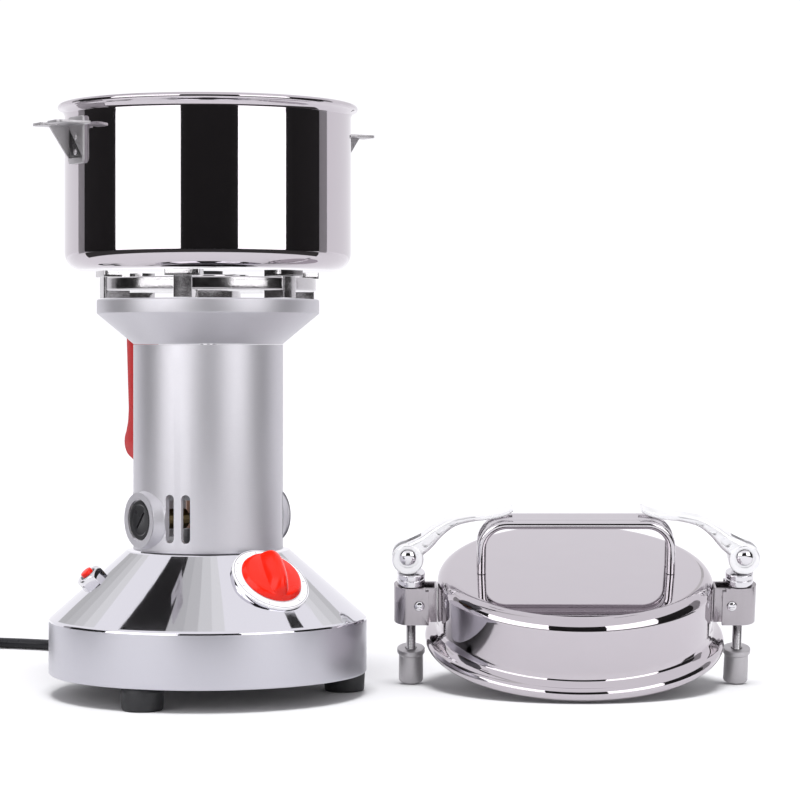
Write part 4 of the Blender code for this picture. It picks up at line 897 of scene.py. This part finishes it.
def plain(name, colour, glow=0.0):
    made = bpy.data.materials.new(name)
    made.use_nodes = True
    shader = made.node_tree.nodes["Principled BSDF"]
    shader.inputs["Base Color"].default_value = (*colour, 1.0)
    shader.inputs["Roughness"].default_value = 0.9
    shader.inputs["Specular IOR Level"].default_value = 0.0
    shader.inputs["Emission Color"].default_value = (*colour, 1.0)
    shader.inputs["Emission Strength"].default_value = glow
    return made


def staged(name, shape, finish):
    """A studio piece. The camera sees the floor and none of the others, which only light and reflect."""
    mesh = bpy.data.meshes.new(name)
    shape.to_mesh(mesh)
    shape.free()
    mesh.materials.append(finish)
    thing = bpy.data.objects.new(name, mesh)
    bpy.context.scene.collection.objects.link(thing)
    thing.visible_camera = name == "floor"
    return thing


def card(name, outline_points, finish):
    shape = bmesh.new()
    shape.faces.new([shape.verts.new(p) for p in outline_points])
    return staged(name, shape, finish)


def curved_card(name, radius, start, end, low, high, corner, finish):
    """An upright card bent round the machine between two camera angles, with rounded corners."""
    shape = bmesh.new()
    wide = math.radians(end - start) * radius
    run = corner * 7
    near = [run * i / 12 for i in range(12)]
    across = near + [run + (wide - 2 * run) * i / 36 for i in range(37)] + [wide - x for x in near[::-1]]
    rows = []
    for x in across:
        angle = start + math.degrees(x / radius)
        inset = min(x, wide - x)
        trim = 0.0
        if inset < run:
            trim = corner * (1 - math.sqrt(max(1 - (1 - inset / run) ** 2, 0.0)))
        place = around(radius, math.degrees(TURNED) + angle, 0.0)
        rows.append((shape.verts.new((place.x, place.y, low + trim)),
                     shape.verts.new((place.x, place.y, high - trim))))
    for (a, b), (c, d) in zip(rows, rows[1:]):
        shape.faces.new((a, c, d, b))
    thing = staged(name, shape, finish)
    thing.data.shade_smooth()
    return thing


def make_studio():
    world = bpy.data.worlds.new("studio")
    bpy.context.scene.world = world
    world.use_nodes = True
    sky = world.node_tree.nodes["Background"]
    sky.inputs["Color"].default_value = (0.975, 0.965, 1.0, 1.0)
    sky.inputs["Strength"].default_value = 1.08

    floor = plain("floor_paper", (0.57, 0.57, 0.58))
    reach = 4.0
    turns = [2 * math.pi * i / 96 for i in range(96)]
    card("floor", [(reach * math.cos(a), reach * math.sin(a), FLOOR - 0.0002) for a in turns], floor)

    flag = plain("black_flag", (0.030, 0.029, 0.029))
    white = plain("white_panel", (1.0, 1.0, 1.0), 1.75)
    wall_start, wall_end, wall_top = -110, 102, 1.30
    curved_card("flag_wall", 2.05, wall_start, wall_end, FLOOR, wall_top, 0.10, flag)
    for low, high, corner in ((0.03, 0.505, 0.032), (0.545, 1.28, 0.02)):
        curved_card(f"left_panel_{corner}", 1.95, -72.6, -17.0, low, high, corner, white)
        curved_card(f"right_panel_{corner}", 1.95, 27.1, 66.9, low, high, corner, white)
    grey = plain("grey_side", (0.34, 0.335, 0.34))
    curved_card("right_grey", 2.03, wall_end, wall_end + 10, FLOOR, wall_top, 0.01, grey)
    curved_card("left_grey", 2.03, wall_start - 10, wall_start, FLOOR, wall_top, 0.01, grey)
    angles = range(wall_start, wall_end + 1, 4)
    card("dark_cloth", [around(radius, math.degrees(TURNED) + angle, FLOOR)
                        for radius, run in ((0.62, angles), (2.04, angles[::-1])) for angle in run], flag)

    def seen_in_cone(radius, angle, height):
        """The point at this height that the camera sees mirrored in the cone, at this radius and angle.
        It is worked out from the camera's place, so the cards match the photograph from that side only."""
        turn = math.radians(angle)
        spot = around(radius, angle, cone_height(radius))
        up = Vector((math.sin(turn) * math.sin(CONE_TILT), -math.cos(turn) * math.sin(CONE_TILT),
                     math.cos(CONE_TILT)))
        ray = (spot - bpy.context.scene.camera.location).normalized()
        ray -= 2 * ray.dot(up) * up
        return spot + ray * (height - spot.z) / ray.z

    def overhead(name, foot, top, finish, height=0.60):
        """A card overhead that the camera sees in the cone between these (radius, start, end) arcs."""
        corners = ((foot[0], foot[1]), (foot[0], foot[2]), (top[0], top[2]), (top[0], top[1]))
        edge = []
        for (r0, a0), (r1, a1) in zip(corners, corners[1:] + corners[:1]):
            edge += [(r0 + (r1 - r0) * i / 8, a0 + (a1 - a0) * i / 8) for i in range(8)]
        card(name, [seen_in_cone(*spot, height) for spot in edge], finish).visible_shadow = False

    overhead("left_strip", (0.0965, -66.0, -47.8), (0.0470, -58.0, -46.3), flag)
    overhead("right_patch", (0.0965, -2.8, 2.8), (0.0845, -1.7, 2.8), flag)
    tones = ((-102, -95, 0.60), (-95, -89, 0.66), (-89, -83, 0.77), (-83, -77, 0.90), (-49, -41.5, 0.60),
             (-41.5, -36.5, 0.67), (-36.5, -31.5, 0.82), (-31.5, -27, 0.93), (12, 17, 0.93), (17, 23, 0.82),
             (23, 28, 0.70))
    for start, end, tone in tones:
        grey_tone = plain(f"overhead_grey_{tone}", (tone, tone, tone), 1.0)
        grey_tone.node_tree.nodes["Principled BSDF"].inputs["Base Color"].default_value = (0, 0, 0, 1)
        overhead(f"overhead_{start}", (0.0975, start, end), (0.0460, start, end), grey_tone, 0.62)

    lamp = bpy.data.lights.new("top_softbox", "SUN")
    lamp.energy = 3.4
    lamp.angle = math.radians(22)
    thing = bpy.data.objects.new("top_softbox", lamp)
    heading = Vector((-0.35 * math.sin(TURNED), 0.35 * math.cos(TURNED), -1.0))
    thing.rotation_euler = heading.to_track_quat("-Z", "Y").to_euler()
    thing.visible_glossy = False
    bpy.context.scene.collection.objects.link(thing)


def make_camera():
    camera = bpy.data.cameras.new("camera")
    camera.lens = 117.0
    camera.sensor_width = 36.0
    camera.shift_y = -0.0615
    thing = bpy.data.objects.new("camera", camera)
    bpy.context.scene.collection.objects.link(thing)
    right = Vector((math.cos(TURNED), math.sin(TURNED), 0.0))
    ahead = Vector((-math.sin(TURNED), math.cos(TURNED), 0.0))
    thing.location = right * 0.115 - ahead * 1.56 + Vector((0, 0, 0.1918))
    thing.rotation_euler = (math.pi / 2, 0.0, TURNED)
    bpy.context.scene.camera = thing
    bpy.context.scene.view_settings.view_transform = "Standard"


make_camera()
make_cord()
make_base()
make_column()
make_bracket()
make_bowl()
make_timer()
make_breaker()
make_brushes()
make_blades()
make_rear_handle()
make_lid()
make_clamp("right", 0.0)
make_clamp("left", math.pi)
finish_inner_nodes()
make_studio()
